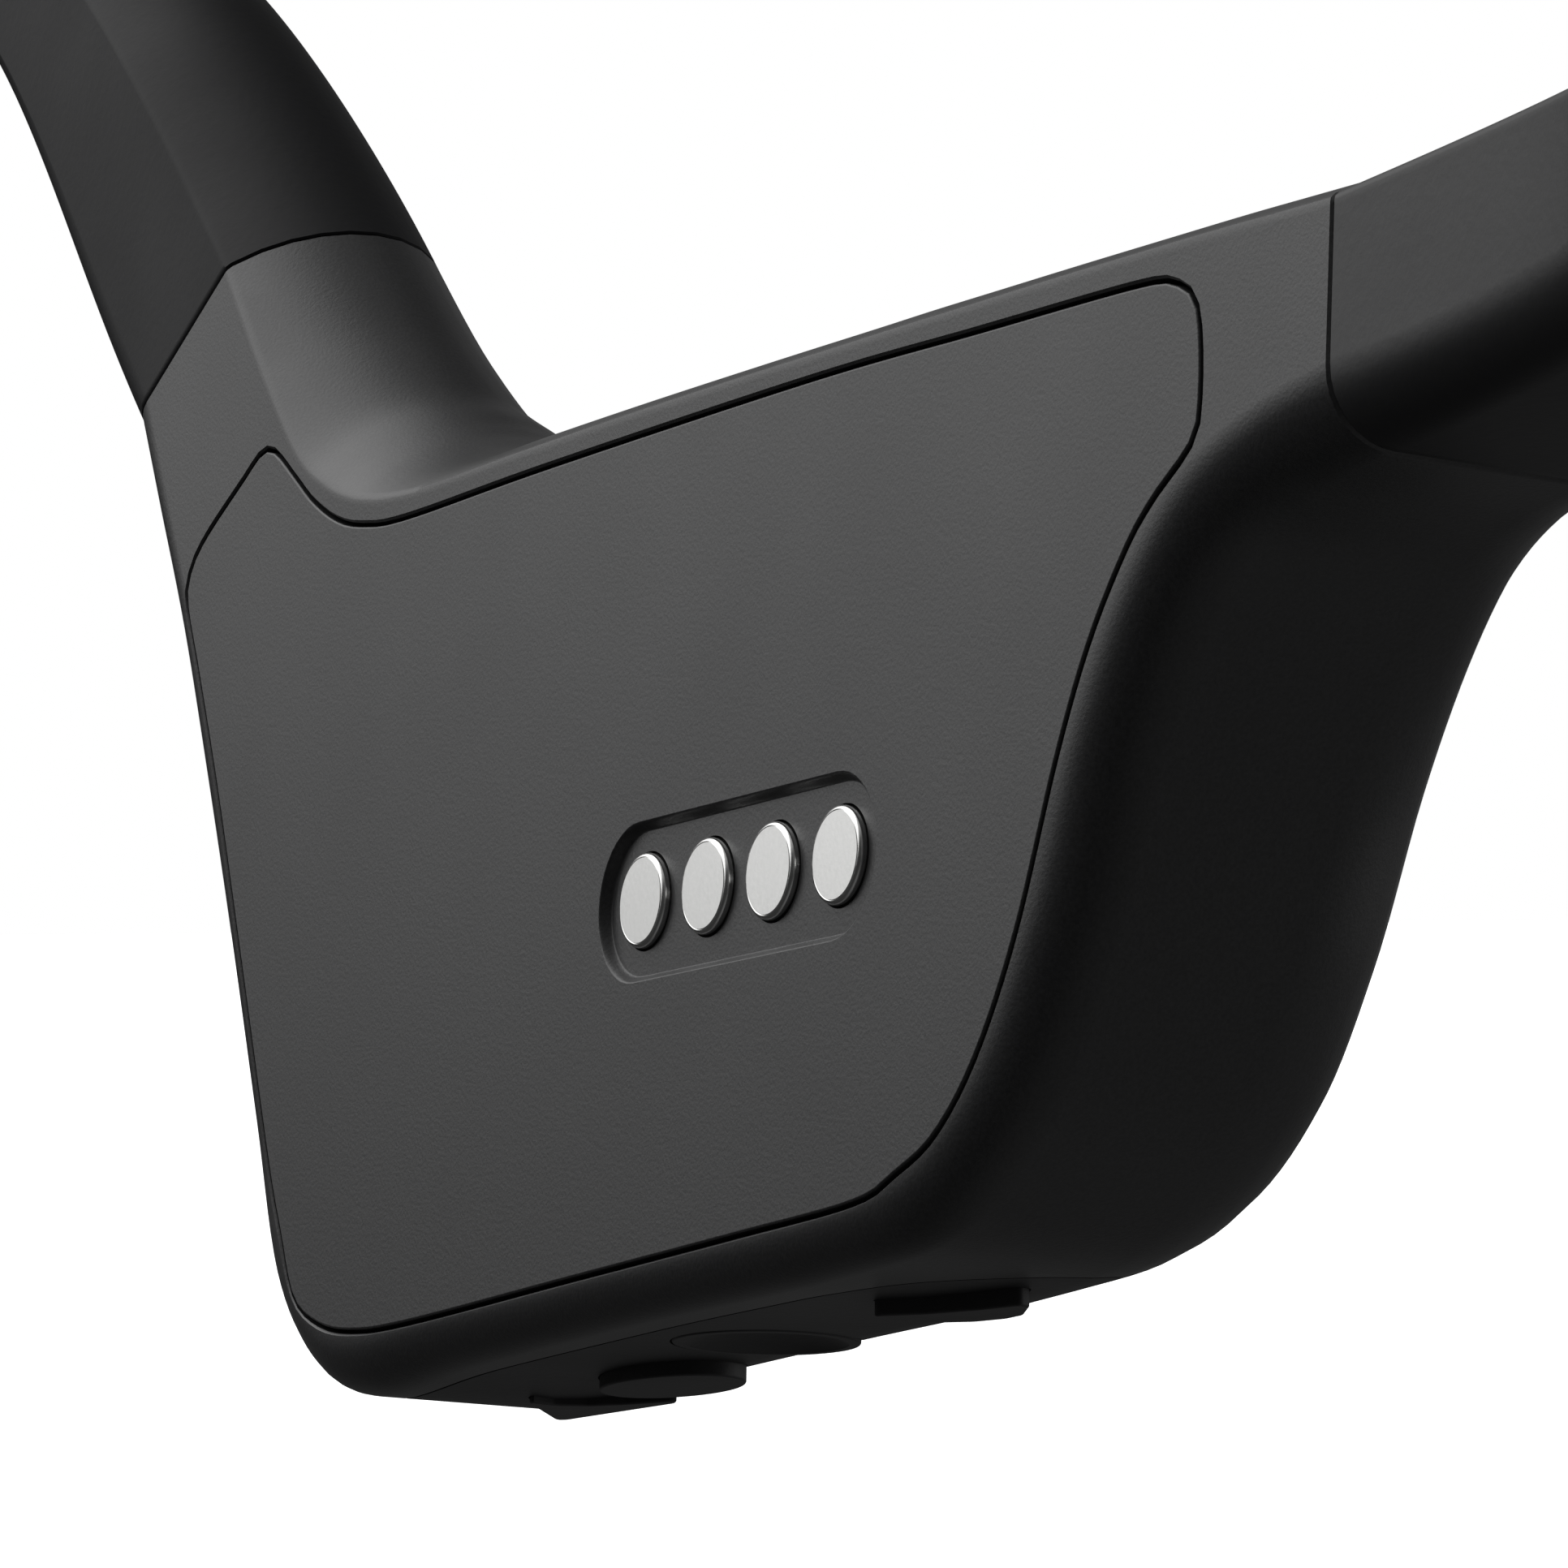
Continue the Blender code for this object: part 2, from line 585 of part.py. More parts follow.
def add_contacts(cover, frame):
    """Four charging contacts in the cover's pocket, and the block that carries them."""
    pocket = stadium(POCKET_LENGTH, POCKET_HEIGHT, POCKET_MIDDLE)
    cutter = solid("cut_pocket", pod_prism(RIGHT, pocket, POCKET_FLOOR, FACE + 1), None, frame, True)
    boolean(cover, cutter)
    holder = pod_prism(RIGHT, stadium(*HOLDER_SIZE, CONTACT_MIDDLE), *HOLDER_DEPTHS)
    holder = solid("contact_block", holder, chip_black(), frame)
    for index in range(4):
        middle = CONTACT_MIDDLE[0] + (index - 1.5) * PITCH

        def at_pin(u, v, depth, y=middle):
            return depth, y + u, CONTACT_MIDDLE[1] + v

        pin = turned(PIN_PROFILE, at_pin)
        solid(f"contact_pin_{index + 1}", pin, bright_metal(), frame)
        hole = turned(((CONTACT_HOLE, -1.1), (CONTACT_HOLE, 1.0)), at_pin)
        boolean(cover, solid(f"cut_contact_{index + 1}", hole, None, frame, True))
        tail = turned(((TAIL_HOLE, -3.0), (TAIL_HOLE, -1.0)), at_pin, 12)
        boolean(holder, solid(f"cut_tail_{index + 1}", tail, None, frame, True))


def strip_point(along, depth, level):
    """Strip frame: x towards the head, y along the strip, z into the pod."""
    return (depth, along - STRIP_PLACE[0], level)


def button_shapes():
    """Outline of each button in (along, depth), and how proud its face stands."""
    return (
        ("play_button", [(-14.0, -3.35), (-14.15, -4.3), (-13.3, -5.05), (-12.3, -5.6),
                         (-12.5, -5.85), (-16.3, -5.5), (-16.5, -5.15)], BUTTON_PROUD),
        ("previous_button", ellipse((-10.1, -4.45), 2.1, 1.25), BUTTON_PROUD),
        ("mode_button", ellipse((-5.1, -3.85), 1.85, 1.85), 0.0),
        ("next_button", [(1.6, -2.55), (2.3, -3.1), (3.35, -3.65), (4.25, -3.95), (4.3, -4.2),
                         (3.15, -4.75), (2.2, -4.6), (1.6, -4.25), (1.35, -3.7), (1.35, -2.8)],
         BUTTON_PROUD),
    )


def middle_of(outline):
    return (sum(p[0] for p in outline) / len(outline), sum(p[1] for p in outline) / len(outline))


def add_button(name, outline, proud, frame):
    """A cap with a stem; the piece's own origin is at the foot of its travel axis."""
    along, depth = middle_of(outline)
    slide = frame_at(name + "_slide", strip_point(along, depth, 0.0), parent=frame)

    def at_slide(u, v, level):
        return (v - depth, u - along, level)

    cap = prism(outline, -proud, CAP_BACK, at_slide)
    piece = solid(name, cap, silicone(), slide)
    stem = turned(((STEM_RADIUS, STEM_START), (STEM_RADIUS, STEM_END)),
                  lambda u, v, d: (u, v, d), 12)
    boolean(piece, solid("join_" + name, stem, None, slide, True), "UNION")
    if proud == 0.0:
        dish = turned(DISH, lambda u, v, d: (u, v, d), 20)
        boolean(piece, solid("cut_dish", dish, None, slide, True))
    return slide


def add_strip(shell, frame):
    """The soft strip in the underside, its four buttons and the switches behind them."""
    strip_frame = frame_at("strip_frame", (0.0, *STRIP_PLACE), (STRIP_TILT, 0.0, 0.0), frame)
    strip = solid("button_strip", pod_loft(RIGHT), silicone(), frame)
    keep = prism(STRIP_OUTLINE, -3.0, STRIP_THICKNESS, strip_point)
    boolean(strip, solid("keep_strip", keep, None, strip_frame, True), "INTERSECT")
    seat = prism(offset_outline(list(STRIP_OUTLINE), GAP), -3.0, STRIP_THICKNESS + GAP, strip_point)
    boolean(shell, solid("cut_strip_seat", seat, None, strip_frame, True))
    for name, outline, proud in button_shapes():
        slide = add_button(name, outline, proud, strip_frame)
        hole = prism(offset_outline(outline, GAP), -3.0, 3.0, strip_point)
        boolean(strip, solid("cut_" + name, hole, None, strip_frame, True))
        bore = STEM_RADIUS + GAP
        guide = turned(((bore, STEM_START - GAP), (bore, GUIDE_END)), lambda u, v, d: (u, v, d), 12)
        guide = solid("cut_guide_" + name, guide, None, slide, True)
        boolean(strip, guide)
        boolean(shell, guide)
        low = STEM_END + BUTTON_TRAVEL_ROOM
        half_x, half_y = SWITCH_HALF
        switch = block((-half_x, -half_y, low), (half_x, half_y, low + SWITCH_HEIGHT))
        solid(name.replace("button", "switch"), switch, steel(), slide)
    board_low = STEM_END + BUTTON_TRAVEL_ROOM + SWITCH_HEIGHT + GAP
    board = prism(SWITCH_BOARD, board_low, board_low + SWITCH_BOARD_THICKNESS, strip_point)
    solid("switch_board", board, circuit_board(), strip_frame)


def add_electronics(frame):
    """Right pod: the main board with its screened processor and its memory chip."""
    solid("main_board", pod_prism(RIGHT, MAIN_BOARD, *MAIN_BOARD_DEPTHS), circuit_board(), frame)
    solid("processor_can", block(*PROCESSOR_CAN), steel(), frame)
    solid("memory_chip", block(*MEMORY_CHIP), chip_black(), frame)


def add_battery(frame):
    """Left pod: a pouch cell and its protection board."""
    solid("battery_cell", pod_prism(LEFT, CELL_OUTLINE, *CELL_DEPTHS), foil(), frame)
    board = pod_prism(LEFT, PROTECTION_BOARD, *PROTECTION_DEPTHS)
    solid("protection_board", board, circuit_board(), frame)


def add_transducer(prefix, side, frame):
    """The housing that rests on the cheekbone, its skin pad and its driver."""
    home = frame_at(prefix + "_transducer_frame", (0.0, 0.0, 0.0), parent=frame)
    home.location = (Vector((side * TRANSDUCER[0], *TRANSDUCER[1:])) - frame.location / MM) * MM

    def at_home(y, z, depth):
        return (side * depth, y, z)

    def oval(grow, depth):
        return [at_home(y * grow, z * grow, depth) for y, z in superellipse(*HOUSING_HALF)]

    inner = [oval(grow, depth) for grow, depth in HOLLOW_RINGS]
    wall = [oval(*ring) for ring in HOUSING_RINGS] + [oval(HOLLOW_RINGS[0][0], HOUSING_RIM)] + inner
    housing = solid(prefix + "_transducer_housing", loft(wall), black_shell(), home)
    stub = (Vector(HOOK_END) - Vector(TRANSDUCER), Vector(HOOK_END_WAY))
    fore = stub[1].cross(Vector((1.0, 0.0, 0.0)))
    neck = [[], []]
    for ring, drop in zip(neck, NECK_REACH):
        for u, v in superellipse(HOOK_SIZE[0] / 2, HOOK_SIZE[1] / 2, 2.2, 20):
            point = stub[0] + stub[1] * drop + Vector((u, 0.0, 0.0)) + fore * v
            ring.append((side * point.x, point.y, point.z))
    boolean(housing, solid("join_neck_" + prefix, loft(neck), None, home, True), "UNION")
    hollow = loft([oval(HOLLOW_RINGS[0][0], HOUSING_RIM + 0.4)] + inner)
    boolean(housing, solid("cut_hollow_" + prefix, hollow, None, home, True))
    pad = loft([oval(*ring) for ring in PAD_RINGS])
    solid(prefix + "_skin_pad", pad, silicone(), home)
    add_driver(prefix, at_home, home)


def add_driver(prefix, at_home, home):
    """Moving-coil exciter: yoke, magnet, pole plate, coil and spring plate."""
    for name, profile in (("_yoke", YOKE), ("_magnet", MAGNET), ("_pole_plate", POLE_PLATE)):
        solid(prefix + name, turned(profile, at_home), steel(), home)
    for name, radii, depths, material in (("_voice_coil", COIL_RADII, COIL_DEPTHS, copper()),
                                          ("_spring_plate", SPRING_RADII, SPRING_DEPTHS, steel())):
        outlines = [ellipse((0.0, 0.0), radius, radius, 20) for radius in radii]
        solid(prefix + name, ring_prism(*outlines, *depths, at_home), material, home)


def add_side(prefix, side, frame):
    """Everything on one side of the head."""
    place = Vector((side * POD_PLACE[0], *POD_PLACE[1:])) - frame.location / MM
    pod = frame_at(prefix + "_pod_frame", place, (POD_PITCH, side * POD_CANT, side * POD_YAW), frame)
    names = [prefix + "_ear_hook_sleeve", prefix + "_ear_hook_wire", prefix + "_ear_hook_lead"]
    add_arm(hook_arm(), names, side, frame, HOOK_WIRE_ENDS)
    band = [prefix + "_neckband_sleeve", prefix + "_neckband_wire", prefix + "_neckband_lead"]
    add_arm(band_arm(), band, side, frame, BAND_WIRE_ENDS)
    cutters = [bpy.data.objects["cut_" + name] for name in names[1:] + band[1:]]
    shell = add_shell(prefix + "_pod_shell", side, pod, cutters)
    cover = add_cover(prefix + "_inner_cover", side, pod)
    add_gasket(prefix + "_cover_gasket", side, pod)
    add_transducer(prefix, side, frame)
    return pod, shell, cover


def main():
    clear_scene()
    left_side = frame_at("left_side_frame", (0.0, 0.0, 0.0))
    hinge = (0.0, BAND_REAR[1] + BAND_SIZE[0] / 2, BAND_REAR[2])
    right_side = frame_at("right_side_hinge", hinge)
    right_pod, right_shell, right_cover = add_side("right", RIGHT, right_side)
    left_pod = add_side("left", LEFT, left_side)[0]
    add_contacts(right_cover, right_pod)
    add_strip(right_shell, right_pod)
    add_electronics(right_pod)
    add_battery(left_pod)


main()
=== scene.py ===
# %% [markdown]
# Bone conduction headphones: a closed pod behind each ear, a hook over the ear to a small
# transducer on the cheekbone, and a sprung neckband behind the head. The imported CAD model is the
# frame that everything hangs on. It is loaded first, and its box is kept to set the floor.

# %% Load the frame
import math

import bmesh
import bpy
import numpy as np
from mathutils import Euler, Matrix, Vector


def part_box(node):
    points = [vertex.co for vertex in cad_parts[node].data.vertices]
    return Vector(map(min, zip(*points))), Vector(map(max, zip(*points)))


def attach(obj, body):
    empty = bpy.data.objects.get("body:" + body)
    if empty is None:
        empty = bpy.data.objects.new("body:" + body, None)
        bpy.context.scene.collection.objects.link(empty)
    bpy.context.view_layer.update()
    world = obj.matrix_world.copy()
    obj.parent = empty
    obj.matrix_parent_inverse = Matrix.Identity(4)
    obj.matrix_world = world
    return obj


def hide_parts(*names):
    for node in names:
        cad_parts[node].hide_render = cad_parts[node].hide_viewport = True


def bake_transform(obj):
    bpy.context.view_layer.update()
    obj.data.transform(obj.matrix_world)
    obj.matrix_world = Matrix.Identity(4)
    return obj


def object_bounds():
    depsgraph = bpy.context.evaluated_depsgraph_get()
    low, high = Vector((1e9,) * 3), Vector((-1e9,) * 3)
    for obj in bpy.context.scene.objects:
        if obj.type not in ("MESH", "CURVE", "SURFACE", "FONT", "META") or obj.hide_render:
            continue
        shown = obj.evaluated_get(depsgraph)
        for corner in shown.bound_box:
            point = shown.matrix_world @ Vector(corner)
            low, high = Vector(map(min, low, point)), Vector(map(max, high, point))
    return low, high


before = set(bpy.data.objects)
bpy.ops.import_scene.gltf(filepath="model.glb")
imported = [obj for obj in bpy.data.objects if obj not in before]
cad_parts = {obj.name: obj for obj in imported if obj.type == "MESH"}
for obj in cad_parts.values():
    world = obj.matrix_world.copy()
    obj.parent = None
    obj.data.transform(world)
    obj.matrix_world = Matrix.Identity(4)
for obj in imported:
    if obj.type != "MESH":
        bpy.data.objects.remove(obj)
cad_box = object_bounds()
MM = 0.001
print("CAD box in mm:", [[round(v / MM, 1) for v in corner] for corner in cad_box])

# %% [markdown]
# Each pod is drawn flat, in its own axes: x towards the head, y to the rear, z up, in millimetres,
# from near the middle of the charging contacts. One matrix leans it as it sits on the head. The
# middle of the four contact pins gives its place, so the drawing follows the CAD model.

# %% Place of the right pod
POD_TURN = (math.radians(7.12), math.radians(-6.42), math.radians(3.0))
pins = [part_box(f"contact_pin_{i}") for i in (1, 2, 3, 4)]
pod_turn = Euler(POD_TURN).to_matrix()
pin_middle = sum(((Vector(low) + Vector(high)) / 2 for low, high in pins), Vector()) / len(pins)
PINS_IN_POD = Vector((-1.375, 0.49, -0.08))
pod_place = Vector(round(v, 1) for v in pin_middle / MM - pod_turn @ PINS_IN_POD)
pod_to_world = Matrix.Translation(pod_place) @ pod_turn.to_4x4()
print("right pod stands at", tuple(pod_place), "mm")

# %% [markdown]
# A long lens close to the pod gives the strong, calm perspective of a product close-up. The camera
# is set in the pod's own axes, so its three directions are the columns of a matrix.

# %% Camera
camera_data = bpy.data.cameras.new("camera")
camera_data.lens = 158.4
camera_data.sensor_width = 36.0
camera_data.clip_start = 0.01
camera_data.clip_end = 10.0
camera = bpy.data.objects.new("camera", camera_data)
bpy.context.collection.objects.link(camera)
camera_axes = Matrix((
    (-0.8751, 0.1118, 0.4708),
    (0.4823, 0.1232, 0.8673),
    (0.0390, 0.9861, -0.1617),
)).to_4x4()
camera_in_pod = Matrix.Translation((60.24, 112.78, -19.13)) @ camera_axes
camera_world = pod_to_world @ camera_in_pod
camera_world.translation *= MM
camera.matrix_world = camera_world
bpy.context.scene.camera = camera
print("camera at", [round(v, 3) for v in camera_world.translation], "m")

# %% [markdown]
# Black plastic shows light mostly as soft reflections, so the studio is drawn as a sky: one broad
# soft box high in front on the head's side, a weak one overhead, one on the outer side, and only
# faint fills below and behind. Rays from the camera itself see plain white. Each soft box is a
# smooth spot round one direction.

# %% Studio light
SOFT_BOXES = (      # direction, cosine where it starts, cosine where it is full, strength
    ((0.52, -0.58, 0.63), 0.70, 0.98, 2.10),
    ((0.30, -0.15, 1.0), 0.62, 0.95, 0.35),
    ((-0.45, -0.85, 0.28), 0.80, 0.99, 0.10),
    ((0.10, 0.95, 0.55), 0.75, 0.98, 0.08),
    ((-0.60, -0.75, -0.20), 0.55, 0.99, 0.04),
    ((-0.20, 0.50, -0.84), 0.40, 0.95, 0.10),
    ((-0.95, 0.25, 0.35), 0.65, 0.97, 0.45),
)
BASE_LIGHT = 0.034


def build_world():
    world = bpy.data.worlds.new("studio")
    bpy.context.scene.world = world
    world.use_nodes = True
    tree = world.node_tree
    nodes, links = tree.nodes, tree.links
    nodes.clear()
    coords = nodes.new("ShaderNodeTexCoord")
    total = None
    for direction, start, full, strength in SOFT_BOXES:
        dot = nodes.new("ShaderNodeVectorMath")
        dot.operation = "DOT_PRODUCT"
        dot.inputs[1].default_value = Vector(direction).normalized()
        links.new(coords.outputs["Generated"], dot.inputs[0])
        spot = nodes.new("ShaderNodeMapRange")
        spot.interpolation_type = "SMOOTHSTEP"
        spot.inputs["From Min"].default_value = start
        spot.inputs["From Max"].default_value = full
        spot.inputs["To Max"].default_value = strength
        links.new(dot.outputs["Value"], spot.inputs["Value"])
        if total is None:
            total = spot.outputs["Result"]
        else:
            add = nodes.new("ShaderNodeMath")
            links.new(total, add.inputs[0])
            links.new(spot.outputs["Result"], add.inputs[1])
            total = add.outputs[0]
    base = nodes.new("ShaderNodeMath")
    base.inputs[1].default_value = BASE_LIGHT
    links.new(total, base.inputs[0])
    studio = nodes.new("ShaderNodeBackground")
    links.new(base.outputs[0], studio.inputs["Strength"])
    white = nodes.new("ShaderNodeBackground")
    rays = nodes.new("ShaderNodeLightPath")
    mix = nodes.new("ShaderNodeMixShader")
    output = nodes.new("ShaderNodeOutputWorld")
    for shader in (white, studio):
        shader.inputs["Color"].default_value = (1.0, 1.0, 1.0, 1.0)
    links.new(rays.outputs["Is Camera Ray"], mix.inputs["Fac"])
    links.new(studio.outputs[0], mix.inputs[1])
    links.new(white.outputs[0], mix.inputs[2])
    links.new(mix.outputs[0], output.inputs["Surface"])
    print(len(SOFT_BOXES), "soft boxes in the studio")


build_world()
bpy.context.scene.view_settings.view_transform = "Standard"

# %% [markdown]
# The pieces hang in front of a white sweep. A floor well below them belongs to the stage. It is
# kept out of reflections, so that it doesn't brighten the dark underside, and from below it is
# clear, so that the underside can be looked at.

# %% Floor
FLOOR_DROP = 0.06
floor_z = cad_box[0][2] - FLOOR_DROP
floor_mesh = bpy.data.meshes.new("floor")
floor_corners = [(-3, -3, floor_z), (3, -3, floor_z), (3, 3, floor_z), (-3, 3, floor_z)]
floor_mesh.from_pydata(floor_corners, [], [(0, 1, 2, 3)])
floor = bpy.data.objects.new("floor", floor_mesh)
bpy.context.collection.objects.link(floor)
floor.visible_diffuse = False
floor.visible_glossy = False
floor_paint = bpy.data.materials.new("pale_floor")
floor_paint.use_nodes = True
floor_nodes, floor_links = floor_paint.node_tree.nodes, floor_paint.node_tree.links
floor_shader = floor_nodes["Principled BSDF"]
floor_shader.inputs["Base Color"].default_value = (0.9, 0.9, 0.9, 1.0)
floor_shader.inputs["Emission Color"].default_value = (1.0, 1.0, 1.0, 1.0)
floor_shader.inputs["Emission Strength"].default_value = 1.0
floor_clear = floor_nodes.new("ShaderNodeBsdfTransparent")
floor_side = floor_nodes.new("ShaderNodeNewGeometry")
floor_mix = floor_nodes.new("ShaderNodeMixShader")
floor_links.new(floor_side.outputs["Backfacing"], floor_mix.inputs["Fac"])
floor_links.new(floor_shader.outputs["BSDF"], floor_mix.inputs[1])
floor_links.new(floor_clear.outputs["BSDF"], floor_mix.inputs[2])
floor_links.new(floor_mix.outputs["Shader"], floor_nodes["Material Output"].inputs["Surface"])
floor_mesh.materials.append(floor_paint)
print("floor at", round(floor_z, 3), "m")

# %% [markdown]
# Moulded plastic isn't quite even: its tool is spark-eroded, which leaves a fine grain. The grain
# is one node group with its size, its depth and the spread of its tone, so each material can use
# it with its own numbers. A second, larger noise gives the slow change that a moulding has.

# %% Grain, a shared node group


def group_socket(tree, name, kind, value=None, is_output=False):
    """A named socket of a node group; kind is Color, Float, Vector, Geometry and so on."""
    socket = tree.interface.new_socket(name, in_out="OUTPUT" if is_output else "INPUT",
                                       socket_type="NodeSocket" + kind)
    if value is not None:
        socket.default_value = value
    return socket.identifier


def build_grain_group():
    tree = bpy.data.node_groups.new("fine_grain", "ShaderNodeTree")
    group_socket(tree, "Colour", "Color", (0.04, 0.04, 0.04, 1.0))
    for name, value in (("Grains per metre", 6000.0), ("Depth", 0.2), ("Tone spread", 0.15),
                        ("Roughness", 0.45), ("Roughness spread", 0.08)):
        group_socket(tree, name, "Float", value)
    for name, kind in (("Colour", "Color"), ("Roughness", "Float"), ("Normal", "Vector")):
        group_socket(tree, name, kind, is_output=True)
    nodes, links = tree.nodes, tree.links
    given = nodes.new("NodeGroupInput")
    result = nodes.new("NodeGroupOutput")
    coords = nodes.new("ShaderNodeTexCoord")
    grain = nodes.new("ShaderNodeTexNoise")
    grain.inputs["Detail"].default_value = 3.0
    grain.inputs["Roughness"].default_value = 0.6
    links.new(coords.outputs["Object"], grain.inputs["Vector"])
    links.new(given.outputs["Grains per metre"], grain.inputs["Scale"])
    slow = nodes.new("ShaderNodeTexNoise")
    slow.inputs["Scale"].default_value = 180.0
    links.new(coords.outputs["Object"], slow.inputs["Vector"])
    bump = nodes.new("ShaderNodeBump")
    bump.inputs["Distance"].default_value = 0.0001
    links.new(given.outputs["Depth"], bump.inputs["Strength"])
    links.new(grain.outputs["Fac"], bump.inputs["Height"])
    links.new(bump.outputs["Normal"], result.inputs["Normal"])

    def spread_round_one(amount, noise):
        """1 + amount * noise, with the noise stretched to run from about -1 to 1."""
        centred = nodes.new("ShaderNodeMapRange")
        centred.inputs["From Min"].default_value = 0.3
        centred.inputs["From Max"].default_value = 0.7
        centred.inputs["To Min"].default_value = -1.0
        links.new(noise, centred.inputs["Value"])
        scaled = nodes.new("ShaderNodeMath")
        scaled.operation = "MULTIPLY_ADD"
        scaled.inputs[2].default_value = 1.0
        links.new(centred.outputs["Result"], scaled.inputs[0])
        links.new(amount, scaled.inputs[1])
        return scaled.outputs[0]

    tone = spread_round_one(given.outputs["Tone spread"], grain.outputs["Fac"])
    colour = nodes.new("ShaderNodeVectorMath")
    colour.operation = "SCALE"
    links.new(given.outputs["Colour"], colour.inputs[0])
    links.new(tone, colour.inputs["Scale"])
    links.new(colour.outputs["Vector"], result.inputs["Colour"])
    share = spread_round_one(given.outputs["Roughness spread"], slow.outputs["Fac"])
    rough = nodes.new("ShaderNodeMath")
    rough.operation = "MULTIPLY"
    links.new(given.outputs["Roughness"], rough.inputs[0])
    links.new(share, rough.inputs[1])
    links.new(rough.outputs[0], result.inputs["Roughness"])
    return tree


GRAIN = build_grain_group()
print("node group:", GRAIN.name)

# %% [markdown]
# Each finish is a Principled material with the grain in front of it. Constants such as metalness
# and specular level are set on the shader itself.

# %% Finishes


def grained(name, colour, size, depth, tone, rough, rough_spread, metallic=0.0, specular=0.5):
    material = bpy.data.materials.new(name)
    material.use_nodes = True
    nodes, links = material.node_tree.nodes, material.node_tree.links
    shader = nodes["Principled BSDF"]
    group = nodes.new("ShaderNodeGroup")
    group.node_tree = GRAIN
    given = {"Colour": (*colour, 1.0), "Grains per metre": size, "Depth": depth,
             "Tone spread": tone, "Roughness": rough, "Roughness spread": rough_spread}
    for socket, value in given.items():
        group.inputs[socket].default_value = value
    for output, socket in (("Colour", "Base Color"), ("Roughness", "Roughness"),
                           ("Normal", "Normal")):
        links.new(group.outputs[output], shader.inputs[socket])
    shader.inputs["Metallic"].default_value = metallic
    shader.inputs["Specular IOR Level"].default_value = specular
    return material


SHELL = grained("grained_shell", (0.026, 0.026, 0.027), 13000.0, 0.08, 0.30, 0.37, 0.05)
COVER = grained("grained_cover", (0.026, 0.026, 0.027), 13000.0, 0.08, 0.30, 0.37, 0.05)
SILICONE = grained("soft_silicone", (0.014, 0.014, 0.015), 4000.0, 0.06, 0.06, 0.48, 0.06,
                   specular=0.45)
HOOK_SKIN = grained("dull_silicone", (0.010, 0.010, 0.011), 4000.0, 0.06, 0.06, 0.50, 0.06,
                    specular=0.12)
STRIP = grained("soft_strip", (0.020, 0.020, 0.021), 5000.0, 0.08, 0.10, 0.50, 0.06)
CONTACT = grained("contact_metal", (0.74, 0.74, 0.73), 9000.0, 0.01, 0.02, 0.22, 0.10, 1.0)
STEEL = grained("satin_steel", (0.42, 0.42, 0.43), 5000.0, 0.10, 0.10, 0.34, 0.15, 1.0)
MAGNET = grained("plated_magnet", (0.55, 0.54, 0.52), 3000.0, 0.04, 0.05, 0.25, 0.20, 1.0)
COPPER = grained("enamelled_copper", (0.60, 0.26, 0.12), 8000.0, 0.05, 0.12, 0.32, 0.15, 1.0)
BOARD = grained("green_solder_mask", (0.012, 0.075, 0.035), 2500.0, 0.05, 0.30, 0.38, 0.15)
CHIP = grained("moulded_chip", (0.022, 0.022, 0.023), 9000.0, 0.12, 0.25, 0.55, 0.10)
FOIL = grained("pouch_foil", (0.55, 0.56, 0.58), 900.0, 0.35, 0.06, 0.36, 0.20, 0.7)
print("finishes made:", len(bpy.data.materials))

# %% [markdown]
# Every moulded piece here is a loft: a row of closed rings with faces between them. The helpers
# below work on rings of points in millimetres. The left pieces are the right ones mirrored, and a
# mirrored shape has its faces turned back so that they still point outwards.

# %% Loft helpers
RIGHT, LEFT = 1.0, -1.0


def smoothstep(t):
    t = min(max(t, 0.0), 1.0)
    return t * t * (3 - 2 * t)


def bezier(p0, p1, p2, p3, t):
    s = 1 - t
    return p0 * s ** 3 + p1 * 3 * s * s * t + p2 * 3 * s * t * t + p3 * t ** 3


def catmull(rows, steps, closed=False):
    """Smooth rows of numbers through the given ones."""
    rows = np.array(rows, float)
    count = len(rows)
    smooth = []
    for span in range(count if closed else count - 1):
        near = [(span + k) % count if closed else min(max(span + k, 0), count - 1)
                for k in (-1, 0, 1, 2)]
        a, b, c, d = rows[near]
        for step in range(steps):
            t = step / steps
            smooth.append(0.5 * (2 * b + (c - a) * t + (2 * a - 5 * b + 4 * c - d) * t * t
                                 + (3 * b - a - 3 * c + d) * t ** 3))
    if not closed:
        smooth.append(rows[-1])
    return np.array(smooth)


def loft(rings, capped=True):
    build = bmesh.new()
    loops = [[build.verts.new(point) for point in ring] for ring in rings]
    pairs = list(zip(loops, loops[1:]))
    if not capped:
        pairs.append((loops[-1], loops[0]))
    for near, far in pairs:
        for i in range(len(near)):
            j = (i + 1) % len(near)
            build.faces.new((near[i], near[j], far[j], far[i]))
    if capped:
        build.faces.new(loops[0])
        build.faces.new(loops[-1])
    return build


def object_from(build, name, side=RIGHT, matrix=None, smooth_angle=30.0):
    """A mesh object in world metres, from a bmesh in millimetres."""
    if matrix is not None:
        build.transform(matrix)
    if side == LEFT:
        bmesh.ops.scale(build, vec=(-1.0, 1.0, 1.0), verts=build.verts)
    bmesh.ops.recalc_face_normals(build, faces=build.faces)
    if build.calc_volume(signed=True) < 0:
        bmesh.ops.reverse_faces(build, faces=build.faces)
    bmesh.ops.scale(build, vec=(MM, MM, MM), verts=build.verts)
    mesh = bpy.data.meshes.new(name)
    build.to_mesh(mesh)
    build.free()
    mesh.shade_smooth()
    mesh.set_sharp_from_angle(angle=math.radians(smooth_angle))
    piece = bpy.data.objects.new(name, mesh)
    bpy.context.collection.objects.link(piece)
    return piece


